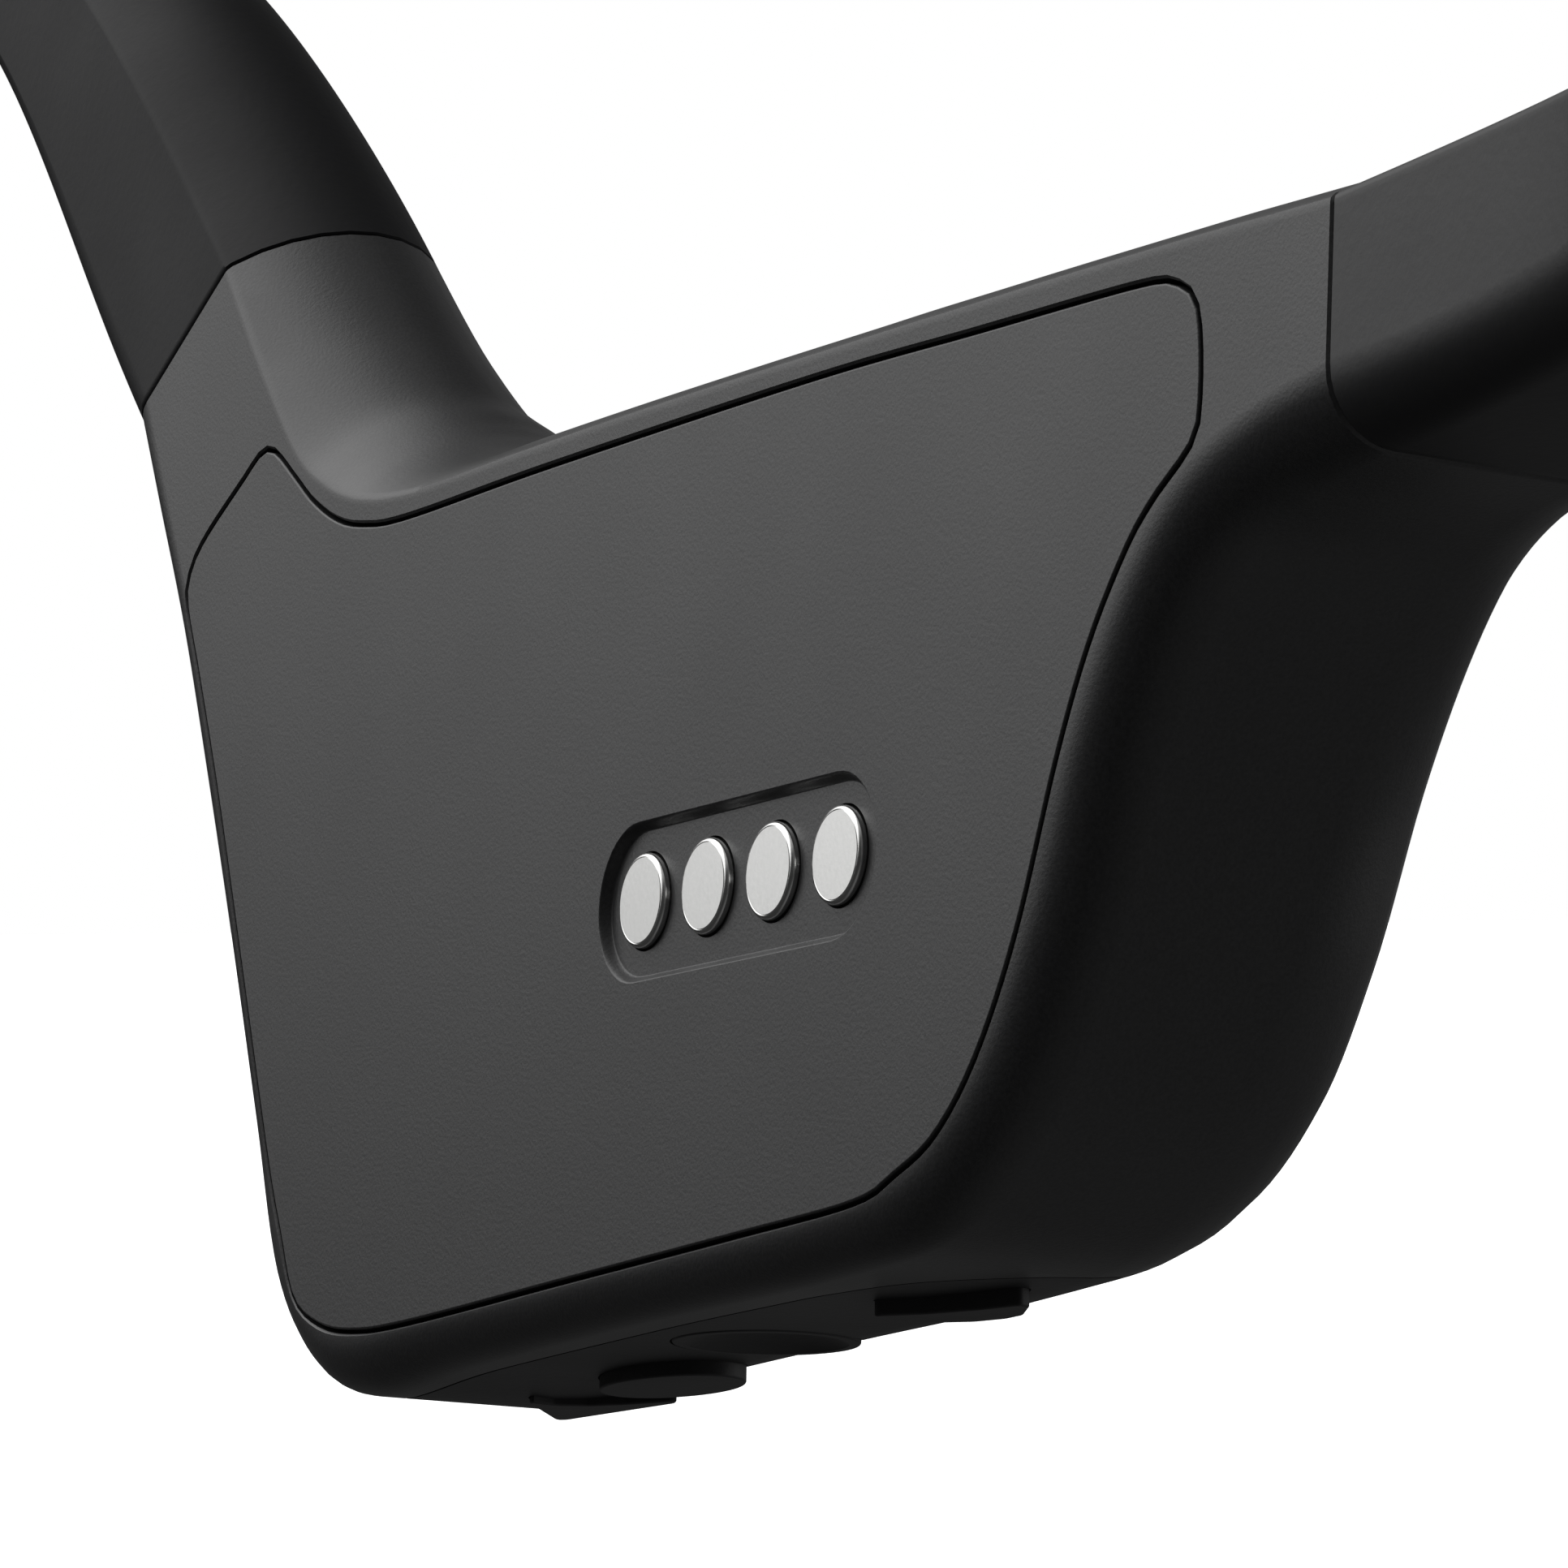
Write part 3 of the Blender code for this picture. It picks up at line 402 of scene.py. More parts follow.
def offset_outline(outline, distance):
    """Move a closed outline along its own normals; positive makes it larger."""
    outline = np.array(outline, float)
    after, before = np.roll(outline, -1, axis=0), np.roll(outline, 1, axis=0)
    area = np.sum(outline[:, 0] * after[:, 1] - after[:, 0] * outline[:, 1])
    along = after - before
    along /= np.linalg.norm(along, axis=1)[:, None]
    outward = np.column_stack((along[:, 1], -along[:, 0])) * math.copysign(1.0, area)
    return outline + distance * outward


def outline_prism(outline, levels, to_point):
    """Closed solid between levels; each level is (offset of the outline, height)."""
    rings = []
    for grow, height in levels:
        rings.append([to_point(u, v, height) for u, v in offset_outline(outline, grow)])
    return loft(rings)


print("loft helpers ready")

# %% [markdown]
# Booleans cut the recesses. The cutters are thrown away once the cut is part of the mesh, so no
# modifier is left on a finished piece.

# %% Cutting helper


def apply_modifiers(piece):
    """Make the modified shape the piece's own mesh, and drop the modifiers."""
    bpy.context.view_layer.update()
    graph = bpy.context.evaluated_depsgraph_get()
    mesh = bpy.data.meshes.new_from_object(piece.evaluated_get(graph))
    piece.modifiers.clear()
    old, piece.data = piece.data, mesh
    bpy.data.meshes.remove(old)
    mesh.name = piece.name
    return mesh


def cut(piece, cutters, operation="DIFFERENCE", smooth_angle=30.0):
    for cutter in cutters:
        step = piece.modifiers.new("cut", "BOOLEAN")
        step.operation = operation
        step.solver = "EXACT"
        step.object = cutter
    mesh = apply_modifiers(piece)
    for cutter in cutters:
        bpy.data.objects.remove(cutter, do_unlink=True)
    mesh.shade_smooth()
    mesh.set_sharp_from_angle(angle=math.radians(smooth_angle))
    return piece


def even_normals(piece):
    """Let each flat face keep its own direction right up to its small edge radius."""
    step = piece.modifiers.new("even", "WEIGHTED_NORMAL")
    step.mode = "FACE_AREA"
    step.keep_sharp = True
    apply_modifiers(piece)


def dress(piece, finish, slot, body, *nodes):
    """Give a finished piece its material and its place in the frame."""
    even_normals(piece)
    piece.data.materials.clear()
    piece.data.materials.append(finish)
    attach(piece, body)
    if nodes:
        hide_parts(*nodes)
    print(f"{piece.name}: {len(piece.data.polygons)} faces")
    return piece


# %% [markdown]
# The pod's skin runs round from the neckband seam, under the pod and up to the ear-hook seam. At
# each station it has a crisp ridge on top, a flat inner face, a small fillet, a wall, a larger
# radius to the outer face and a low arch back to the ridge. Smooth curves through the stations
# fill in the rest.

# %% Pod stations
# ridge (y, z), lower contour (y, z), thickness, inner radius, outer radius, arch
POD_STATIONS = (
    (20.35, 8.99, 20.35, 4.86, 6.9, 1.3, 1.7, 1.00),
    (18.60, 9.06, 18.30, 4.55, 7.2, 1.3, 2.0, 1.05),
    (16.60, 9.15, 16.40, 3.85, 7.6, 1.3, 2.4, 1.08),
    (14.00, 9.24, 14.90, 2.50, 7.85, 1.3, 2.7, 1.10),
    (11.00, 9.33, 13.50, 0.30, 7.95, 1.3, 2.9, 1.13),
    (8.20, 9.40, 12.15, -2.80, 7.95, 1.3, 3.1, 1.16),
    (6.00, 9.46, 10.30, -5.50, 7.95, 1.25, 3.2, 1.17),
    (3.80, 9.51, 7.40, -7.20, 8.0, 1.1, 3.2, 1.17),
    (0.00, 9.60, 3.00, -7.72, 7.95, 1.0, 2.9, 1.17),
    (-5.00, 9.69, -4.50, -8.12, 8.0, 0.95, 2.8, 1.21),
    (-9.50, 9.73, -11.50, -8.56, 8.0, 1.0, 2.8, 1.27),
    (-12.30, 9.72, -15.80, -8.92, 8.0, 1.2, 2.9, 1.33),
    (-13.90, 9.73, -18.10, -8.35, 8.0, 1.3, 3.0, 1.45),
    (-15.20, 9.80, -20.00, -6.50, 7.9, 1.3, 3.0, 1.65),
    (-16.30, 9.92, -21.45, -3.20, 7.7, 1.3, 2.9, 1.90),
    (-17.40, 10.15, -23.20, 0.80, 7.4, 1.3, 2.8, 2.12),
    (-18.60, 10.60, -25.00, 4.70, 7.0, 1.3, 2.7, 2.28),
    (-20.10, 11.50, -26.75, 8.30, 6.5, 1.3, 2.6, 2.32),
    (-22.10, 13.60, -28.45, 11.30, 6.0, 1.3, 2.45, 2.22),
    (-24.45, 16.42, -29.70, 13.50, 5.6, 1.3, 2.4, 2.00),
)
FACE = 0.3
STATION_STEPS = 7
EDGE_STEPS = 8
ARCH_STEPS = 12
ARCH_FOOT = 0.3
RIDGE_ROUND = 0.10


def pod_section(row, ridge_out, lower_out):
    ridge, lower = Vector(row[0:2]), Vector(row[2:4])
    thickness, inner, outer, arch = row[4:8]
    back = FACE - thickness
    inward = (lower - ridge).normalized()
    ring = []

    def add(point, depth):
        ring.append((depth, point.x, point.y))

    add(ridge + inward * RIDGE_ROUND, FACE)
    add(ridge + inward * 2 * RIDGE_ROUND, FACE)
    add(lower - lower_out * inner * 1.06, FACE)
    for step in range(EDGE_STEPS + 1):
        turn = math.pi / 2 * step / EDGE_STEPS
        add(lower - lower_out * inner * (1 - math.sin(turn)), FACE - inner * (1 - math.cos(turn)))
    for step in range(EDGE_STEPS + 1):
        turn = math.pi / 2 * step / EDGE_STEPS
        add(lower - lower_out * outer * (1 - math.cos(turn)), back + outer * (1 - math.sin(turn)))
    foot = thickness * ARCH_FOOT
    for step in range(ARCH_STEPS + 1):
        t = 0.985 * step / ARCH_STEPS
        out = bezier(-foot, arch * 1.33, arch * 1.33, 0.0, t)
        depth = bezier(back, back, FACE - thickness * 0.3, FACE, t)
        add(ridge + ridge_out * out, depth)
    add(ridge + inward * RIDGE_ROUND * 0.3, FACE - RIDGE_ROUND * 0.12)
    return ring


def pod_rings():
    rows = catmull(POD_STATIONS, STATION_STEPS)
    last = len(rows) - 1
    rings = []
    for i, row in enumerate(rows):
        before, after = rows[max(i - 1, 0)], rows[min(i + 1, last)]
        ridge_way = Vector(after[0:2] - before[0:2]).normalized()
        lower_way = Vector(after[2:4] - before[2:4]).normalized()
        across = Vector(row[2:4] - row[0:2]).normalized()
        own = smoothstep(min(i, last - i) / (2.5 * STATION_STEPS))
        ridge_out = Vector((ridge_way.y, -ridge_way.x)).lerp(-across, 1 - own).normalized()
        lower_out = Vector((-lower_way.y, lower_way.x)).lerp(across, 1 - own).normalized()
        rings.append([Vector(point) for point in pod_section(row.tolist(), ridge_out, lower_out)])
    return rings


POD_RINGS = pod_rings()
print(len(POD_RINGS), "rings of", len(POD_RINGS[0]), "points in a pod")

# %% [markdown]
# Where two mouldings meet in one surface, the joint still shows as a hairline, because each edge
# has a tiny radius. The last ring of each loft is pulled in a little to make it.

# %% Seam edge
SEAM_ROUND = 0.05


def pulled_in(ring, amount=SEAM_ROUND):
    middle = sum(ring, Vector()) / len(ring)
    return [point + (middle - point).normalized() * amount for point in ring]


def with_soft_ends(rings, amount=SEAM_ROUND):
    """Add a small radius at both ends of a row of rings."""
    def near_end(end, inner):
        reach = (inner[0] - end[0]).length
        return [a.lerp(b, min(amount / reach, 0.5)) for a, b in zip(end, inner)]

    return ([pulled_in(rings[0], amount), near_end(rings[0], rings[1])] + rings[1:-1]
            + [near_end(rings[-1], rings[-2]), pulled_in(rings[-1], amount)])


# %% [markdown]
# The inner cover is a flat plate set into the shell. The hairline round it is the gap between the
# two; both edges have a very small radius that catches the light.

# %% Cover outline and depths
COVER_CORNERS = (
    (-21.4, 11.7), (-20.2, 10.9), (-19.25, 10.25), (-18.0, 9.65), (-16.7, 9.33), (-14.5, 9.14),
    (-7.9, 9.13), (2.8, 8.99), (8.8, 8.78), (14.3, 8.58), (15.5, 8.4), (16.1, 8.05), (16.35, 7.4),
    (16.4, 6.2), (16.17, 5.56), (15.0, 4.8), (14.16, 4.06), (13.05, 2.6), (12.1, 0.75),
    (10.9, -2.2), (9.67, -4.24), (8.35, -5.5), (6.96, -6.1), (5.5, -6.5), (1.0, -6.8),
    (-5.6, -7.2), (-12.7, -7.63), (-15.4, -7.65), (-17.0, -7.4), (-18.2, -6.8), (-19.0, -5.4),
    (-19.8, -3.84), (-21.6, 0.3), (-23.4, 4.4), (-24.8, 7.3), (-25.6, 8.9), (-25.6, 9.6),
    (-24.9, 10.3), (-22.9, 11.35), (-22.1, 11.75),
)


def even_outline(corners, spacing=0.4):
    """A smooth closed curve through the corners, with even steps along it."""
    dense = catmull(corners, 16, closed=True)
    steps = np.linalg.norm(np.roll(dense, -1, axis=0) - dense, axis=1)
    run = np.concatenate(([0.0], np.cumsum(steps)))
    count = int(run[-1] / spacing)
    places = np.arange(count) * run[-1] / count
    loop = np.vstack((dense, dense[:1]))
    return np.column_stack([np.interp(places, run, loop[:, k]) for k in (0, 1)])


COVER_OUTLINE = even_outline(COVER_CORNERS)
COVER_THICKNESS = 1.2
COVER_GAP = 0.09
EDGE_ROUND = 0.05
LEDGE = -1.8
CAVITY_CORNERS = (
    (13.6, 7.1), (-14.8, 7.6), (-19.0, 8.3), (-21.6, 9.9), (-23.6, 9.0), (-24.0, 8.2),
    (-20.1, -0.5), (-17.8, -5.1), (-16.4, -6.1), (-12.7, -6.2), (5.2, -5.1), (7.5, -4.4),
    (9.6, -1.6), (11.9, 3.2), (14.0, 6.0),
)
CAVITY_FLOOR = -6.2
print(len(COVER_OUTLINE), "points round the cover")


def pod_point(y, z, depth):
    return Vector((depth, y, z))


# %% [markdown]
# The strip with the buttons is let into the underside. Its own axes lean with the underside:
# levels count into the pod from its lower face.

# %% Strip axes and outline
STRIP_PLACE = (-5.5, -8.2)
STRIP_TILT = math.radians(3.07)
strip_to_pod = (Matrix.Translation((0.0, *STRIP_PLACE))
                @ Matrix.Rotation(STRIP_TILT, 4, "X"))
STRIP_CORNERS = (
    (-0.5, -1.35), (1.8, -1.5), (3.7, -2.1), (5.1, -3.3), (5.8, -4.6), (5.6, -5.9), (4.4, -6.6),
    (-6.0, -6.75), (-15.9, -6.6), (-17.6, -6.2), (-18.4, -5.2), (-18.4, -3.7), (-17.6, -2.3),
    (-16.0, -1.45), (-13.5, -1.25), (-7.0, -1.3),
)
STRIP_OUTLINE = even_outline(STRIP_CORNERS, 0.25)
STRIP_THICKNESS = 1.0
STRIP_GAP = 0.06


def strip_point(along, depth, level):
    return strip_to_pod @ Vector((depth, along - STRIP_PLACE[0], level))


print(len(STRIP_OUTLINE), "points round the strip")

# %% [markdown]
# One shell for each side: loft the skin, then cut the cover's recess with its small lead-in, the
# hollow behind it and, on the right, the seat of the strip.

# %% Pod shells


def make_shell(side, name, body):
    shell = object_from(loft(with_soft_ends(POD_RINGS)), name, side, pod_to_world)
    lead_in = ((COVER_GAP, LEDGE), (COVER_GAP, FACE - EDGE_ROUND),
               (COVER_GAP + 0.45 * EDGE_ROUND, FACE - 0.45 * EDGE_ROUND),
               (COVER_GAP + EDGE_ROUND, FACE + 0.001), (COVER_GAP + EDGE_ROUND, FACE + 1.0))
    recess = object_from(outline_prism(COVER_OUTLINE, lead_in, pod_point), "recess", side,
                         pod_to_world)
    hollow = object_from(outline_prism(CAVITY_CORNERS, ((0, CAVITY_FLOOR), (0, LEDGE + 0.5)),
                                       pod_point), "hollow", side, pod_to_world)
    cutters = [recess, hollow]
    if side == RIGHT:
        levels = ((STRIP_GAP, -3.0), (STRIP_GAP, STRIP_THICKNESS + 0.15))
        seat = outline_prism(STRIP_OUTLINE, levels, strip_point)
        cutters.append(object_from(seat, "seat", side, pod_to_world))
    cut(shell, cutters)
    return dress(shell, SHELL, "shell", body, name.replace("_fine", ""))


make_shell(RIGHT, "right_pod_shell_fine", "right_side")
make_shell(LEFT, "left_pod_shell_fine", "left_side")

# %% [markdown]
# The cover plate has the same small radius round its edge. The right one has a shallow pocket for
# the charging plug, with a soft lip, and a hole round each contact.

# %% Inner covers
PITCH = 2.54
CONTACT_RADIUS = 0.925
CONTACT_HOLE = 0.97
CONTACT_MIDDLE = (0.49, -0.08)
CONTACT_FACE = 0.25
POCKET_SIZE = (10.55, 2.8)
POCKET_MIDDLE = (0.49, -0.12)
POCKET_FLOOR = 0.08
POCKET_LIP = 0.17


def stadium(length, height, middle, steps=20):
    radius = height / 2
    points = []
    for end, start in ((1, -90), (-1, 90)):
        for step in range(steps + 1):
            angle = math.radians(start + 180 * step / steps)
            points.append((middle[0] + end * (length / 2 - radius) + radius * math.cos(angle),
                           middle[1] + radius * math.sin(angle)))
    return points


def disc(middle, radius, count=64):
    turns = [2 * math.pi * i / count for i in range(count)]
    return [(middle[0] + radius * math.cos(a), middle[1] + radius * math.sin(a)) for a in turns]


def make_cover(side, name, body):
    levels = [(0.0, FACE - COVER_THICKNESS), (0.0, FACE - EDGE_ROUND)]
    for step in (1, 2, 3, 4):
        turn = math.pi / 2 * step / 4
        levels.append((-EDGE_ROUND * (1 - math.cos(turn)),
                       FACE - EDGE_ROUND * (1 - math.sin(turn))))
    cover = object_from(outline_prism(COVER_OUTLINE, levels, pod_point), name, side, pod_to_world)
    if side == RIGHT:
        pocket_levels = [(0.0, POCKET_FLOOR)]
        for step in range(1, 13):
            t = step / 12
            rise = (FACE - POCKET_FLOOR) * smoothstep(t)
            pocket_levels.append((POCKET_LIP * t, POCKET_FLOOR + rise))
        pocket_levels.append((POCKET_LIP + 0.02, FACE + 0.001))
        pocket_levels.append((POCKET_LIP + 0.02, FACE + 0.5))
        pocket = stadium(*POCKET_SIZE, POCKET_MIDDLE)
        cutters = [object_from(outline_prism(pocket, pocket_levels, pod_point), "pocket", side,
                               pod_to_world)]
        for index in range(4):
            middle = (CONTACT_MIDDLE[0] + (index - 1.5) * PITCH, CONTACT_MIDDLE[1])
            hole = disc(middle, CONTACT_HOLE)
            hole = outline_prism(hole, ((0, -1.3), (0, FACE + 1)), pod_point)
            cutters.append(object_from(hole, "hole", side, pod_to_world))
        cut(cover, cutters)
    return dress(cover, COVER, "shell", body, name.replace("_fine", ""))


make_cover(RIGHT, "right_inner_cover_fine", "right_side")
make_cover(LEFT, "left_inner_cover_fine", "left_side")

# %% [markdown]
# The ear hook and the neckband grow out of the pod's own section and slim down to an oval. Each is
# a centre line of Bezier spans with a width and a depth direction at every point. The sections
# leave the seam flat and turn to face along the line soon after it.

# %% Arm lines
HOOK_RISE = math.radians(44.5)
HOOK_TOP = Vector((-46.2, 11.5, 22.2))
HOOK_END = Vector((-42.8, 1.9, 12.7))
HOOK_END_WAY = Vector((0.0, -0.16, -0.987))
HOOK_HANDLES = (8.5, 7.0, 6.5, 5.5)
BAND_RISE = 0.04
BAND_REAR = Vector((0.0, 116.0, 15.5))
BAND_HANDLES = (22.0, 30.0)
BAND_SIZE = (2.9, 5.4)
HOOK_SIZE = (4.2, 4.8)
SEAM_GAP = 0.03
SEAM_SHARE = 0.2
WAY_STEP = 0.002
TO_HEAD = Vector((1.0, 0.0, 0.0))


class ArmLine:
    """A sleeve's centre line, with its section at every stop from 0 at the seam to 1."""

    def __init__(self, ring, spans_from, end_wide, end_size, settle):
        points = [pod_to_world @ p for p in ring]
        ridge, fillet = points[0], points[2]
        self.wide = (fillet - ridge).normalized()
        self.deep = -(pod_turn @ TO_HEAD)
        reach = [(p - ridge).dot(self.wide) for p in points]
        depth = [(p - ridge).dot(self.deep) for p in points]
        self.middle = (ridge + self.wide * (max(reach) + min(reach)) / 2
                       + self.deep * (max(depth) + min(depth)) / 2)
        self.way = self.wide.cross(self.deep).normalized()
        if self.way.dot(self.middle - pod_place) < 0:
            self.way = -self.way
        self.seam = [((p - self.middle).dot(self.wide), (p - self.middle).dot(self.deep))
                     for p in points]
        self.spans = spans_from(self.middle + self.way * SEAM_GAP, self.way)
        self.hand = math.copysign(1.0, self.way.cross(self.wide).dot(self.deep))
        self.end_wide, self.end_size = Vector(end_wide), end_size
        self.settle = settle

    def place(self, t):
        count = (len(self.spans) - 1) // 3
        span = min(int(t * count), count - 1)
        return bezier(*self.spans[3 * span:3 * span + 4], t * count - span)

    def axes(self, t):
        ahead, behind = min(t + WAY_STEP, 1.0), max(t - WAY_STEP, 0.0)
        way = (self.place(ahead) - self.place(behind)).normalized()
        wide = self.wide.lerp(self.end_wide, smoothstep(t))
        wide = (wide - way * wide.dot(way)).normalized()
        deep = way.cross(wide).normalized() * self.hand
        turned = smoothstep(t / SEAM_SHARE)
        return self.place(t), self.wide.lerp(wide, turned), self.deep.lerp(deep, turned)

    def ring(self, t):
        place, wide, deep = self.axes(t)
        slim = smoothstep(t / self.settle)
        ring = []
        for w, d in self.seam:
            oval = 0.5 / math.hypot(w / self.end_size[1], d / self.end_size[0])
            share = 1 + (oval - 1) * slim
            ring.append(place + wide * w * share + deep * d * share)
        return ring

    def core(self, t, aside):
        place, wide, _ = self.axes(t)
        return place - wide * aside


def hook_spans(start, way):
    leave, reach_top, pass_top, reach_end = HOOK_HANDLES
    forward = Vector((0.0, -1.0, 0.0))
    rise = pod_turn @ Vector((0.0, -math.cos(HOOK_RISE), math.sin(HOOK_RISE)))
    return (start, start + rise * leave, HOOK_TOP - forward * reach_top, HOOK_TOP,
            HOOK_TOP + forward * pass_top, HOOK_END - HOOK_END_WAY * reach_end, HOOK_END)


def band_spans(start, way):
    leave, reach_rear = BAND_HANDLES
    rise = way + Vector((0.0, 0.0, BAND_RISE))
    return (start, start + rise * leave, BAND_REAR - TO_HEAD * reach_rear, BAND_REAR)


HOOK = ArmLine(POD_RINGS[-1], hook_spans, (0.0, 1.0, -0.16), HOOK_SIZE, 0.5)
BAND = ArmLine(POD_RINGS[0], band_spans, (0.0, 0.0, -1.0), BAND_SIZE, 0.45)
print("hook starts at", [round(v, 1) for v in HOOK.place(0.0)], "mm")

# %% [markdown]
# The hook sleeves are silicone over the spring wire. They end just short of the transducer's neck.

# %% Ear hook sleeves
# Sections along an arm stand closer together near the seam.
ARM_SECTIONS = 90
CROWDING = 1.25
ARM_STOPS = [(i / ARM_SECTIONS) ** CROWDING for i in range(ARM_SECTIONS + 1)]

for side, prefix in ((RIGHT, "right"), (LEFT, "left")):
    rings = with_soft_ends([HOOK.ring(t) for t in ARM_STOPS])
    sleeve = object_from(loft(rings), prefix + "_ear_hook_sleeve_fine", side, smooth_angle=40.0)
    dress(sleeve, HOOK_SKIN, "silicone", prefix + "_side", prefix + "_ear_hook_sleeve")

# %% [markdown]
# The neckband is one unbroken sleeve from pod to pod. It bends over its whole rear part as the
# sides open, so it is left out of both sides' bodies.


def mirrored(ring):
    return [Vector((-p.x, p.y, p.z)) for p in ring]


def blend_band(piece, finish, slot, *nodes):
    piece.data.materials.clear()
    piece.data.materials.append(finish)
    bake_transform(piece)
    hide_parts(*nodes)
    print(f"{piece.name}: {len(piece.data.polygons)} faces")


right_rings = [BAND.ring(t) for t in ARM_STOPS]
left_rings = [mirrored(ring) for ring in reversed(right_rings[:-1])]
band_rings = with_soft_ends(right_rings + left_rings)
band_sleeve = object_from(loft(band_rings), "neckband_sleeve_fine", smooth_angle=40.0)
blend_band(band_sleeve, SILICONE, "silicone", "right_neckband_sleeve", "left_neckband_sleeve")

# %% [markdown]
# Wires and leads are tubes along a path, which is a rule that Geometry Nodes can follow: a path
# goes in, a round profile is swept along it, and the result gets its finish. The tree is made once
# and each tube sets its own radius.

# %% Tube tree
WIRE_RADIUS, LEAD_RADIUS = 0.75, 0.45
WIRE_ASIDE, LEAD_ASIDE = 1.05, -1.0


def geometry_tree(name, shape, inputs, output):
    """An empty tree with its sockets; the last value is each input's identifier."""
    tree = bpy.data.node_groups.new(name, "GeometryNodeTree")
    group_socket(tree, shape, "Geometry")
    keys = [group_socket(tree, label, kind) for label, kind in inputs]
    group_socket(tree, output, "Geometry", is_output=True)
    return tree, tree.nodes.new("NodeGroupInput"), keys


def realize_and_paint(tree, given, geometry):
    """End a tree: real geometry, the given finish, and out."""
    nodes, links = tree.nodes, tree.links
    realize = nodes.new("GeometryNodeRealizeInstances")
    paint = nodes.new("GeometryNodeSetMaterial")
    result = nodes.new("NodeGroupOutput")
    links.new(geometry, realize.inputs["Geometry"])
    links.new(realize.outputs["Geometry"], paint.inputs["Geometry"])
    links.new(given.outputs["Finish"], paint.inputs["Material"])
    links.new(paint.outputs["Geometry"], result.inputs[0])


def build_tube_tree():
    inputs = (("Radius", "Float"), ("Finish", "Material"))
    tree, given, keys = geometry_tree("tube_along_path", "Path", inputs, "Tube")
    nodes, links = tree.nodes, tree.links
    as_curve = nodes.new("GeometryNodeMeshToCurve")
    profile = nodes.new("GeometryNodeCurvePrimitiveCircle")
    profile.inputs["Resolution"].default_value = 20
    sweep = nodes.new("GeometryNodeCurveToMesh")
    sweep.inputs["Fill Caps"].default_value = True
    links.new(given.outputs["Path"], as_curve.inputs["Mesh"])
    links.new(given.outputs["Radius"], profile.inputs["Radius"])
    links.new(as_curve.outputs["Curve"], sweep.inputs["Curve"])
    links.new(profile.outputs["Curve"], sweep.inputs["Profile Curve"])
    realize_and_paint(tree, given, sweep.outputs["Mesh"])
    return tree, *keys


TUBE_TREE, TUBE_RADIUS, TUBE_FINISH = build_tube_tree()


def bake_tree(piece):
    """Turn a Geometry Nodes result into a plain closed mesh with its faces outwards."""
    mesh = apply_modifiers(piece)
    build = bmesh.new()
    build.from_mesh(mesh)
    bmesh.ops.remove_doubles(build, verts=build.verts, dist=1e-7)
    bmesh.ops.recalc_face_normals(build, faces=build.faces)
    build.to_mesh(mesh)
    build.free()
    mesh.shade_smooth()
    mesh.set_sharp_from_angle(angle=math.radians(40.0))


def make_tube(name, points, radius, finish):
    mesh = bpy.data.meshes.new(name)
    mesh.from_pydata([tuple(p * MM) for p in points], [(i, i + 1) for i in range(len(points) - 1)],
                     [])
    piece = bpy.data.objects.new(name, mesh)
    bpy.context.collection.objects.link(piece)
    step = piece.modifiers.new("tube", "NODES")
    step.node_group = TUBE_TREE
    step[TUBE_RADIUS] = radius * MM
    step[TUBE_FINISH] = finish
    bake_tree(piece)
    return piece


print("tube tree ready")

# %% [markdown]
# Beside each spring wire runs a thin lead to the transducer or to the other pod. The hook's pair
# is rigid with its side; the band's pair is continuous and follows the sleeve.

# %% Wires and leads
TUBE_STOPS = [i / 48 for i in range(49)]
BAND_INSIDE = 6.9
HOOK_INSIDE = 7.1

for kind, radius, aside, finish, slot in (("wire", WIRE_RADIUS, WIRE_ASIDE, STEEL, "steel"),
                                          ("lead", LEAD_RADIUS, LEAD_ASIDE, COPPER, "copper")):
    hook_path = [HOOK.core(t, aside) for t in TUBE_STOPS]
    hook_path = [hook_path[0] - HOOK.way * HOOK_INSIDE] + hook_path
    for side, prefix in ((RIGHT, "right"), (LEFT, "left")):
        path = hook_path if side == RIGHT else mirrored(hook_path)
        tube = make_tube(f"{prefix}_ear_hook_{kind}_fine", path, radius, finish)
        dress(tube, finish, slot, prefix + "_side", f"{prefix}_ear_hook_{kind}")
    half = [BAND.core(t, aside) for t in TUBE_STOPS]
    half = [half[0] - BAND.way * BAND_INSIDE] + half
    path = half + mirrored(list(reversed(half[:-1])))
    tube = make_tube(f"neckband_{kind}_fine", path, radius, finish)
    blend_band(tube, finish, slot, f"right_neckband_{kind}", f"left_neckband_{kind}")

# %% [markdown]
# The charging contacts are one turned pin, repeated at the standard pitch. That is a job for
# Geometry Nodes: a line of points, one instance on each, then real geometry. The pin's rim is
# rounded, with a fine step inside it, so that it catches a bright and a dark line.

# %% Contact pins
PIN_PROFILE = (
    (0.4, -3.0), (0.4, -1.3), (1.15, -1.3), (1.15, -1.0), (CONTACT_RADIUS, -1.0),
    (CONTACT_RADIUS, CONTACT_FACE - 0.095), (CONTACT_RADIUS - 0.007, CONTACT_FACE - 0.062),
    (CONTACT_RADIUS - 0.024, CONTACT_FACE - 0.034), (CONTACT_RADIUS - 0.050, CONTACT_FACE - 0.014),
    (CONTACT_RADIUS - 0.080, CONTACT_FACE - 0.006), (CONTACT_RADIUS - 0.092, CONTACT_FACE - 0.014),
    (CONTACT_RADIUS - 0.104, CONTACT_FACE),
)


def turned(profile, to_point, count=64):
    rings = []
    for radius, level in profile:
        turns = [2 * math.pi * i / count for i in range(count)]
        rings.append([to_point(radius * math.cos(a), radius * math.sin(a), level) for a in turns])
    return loft(rings)


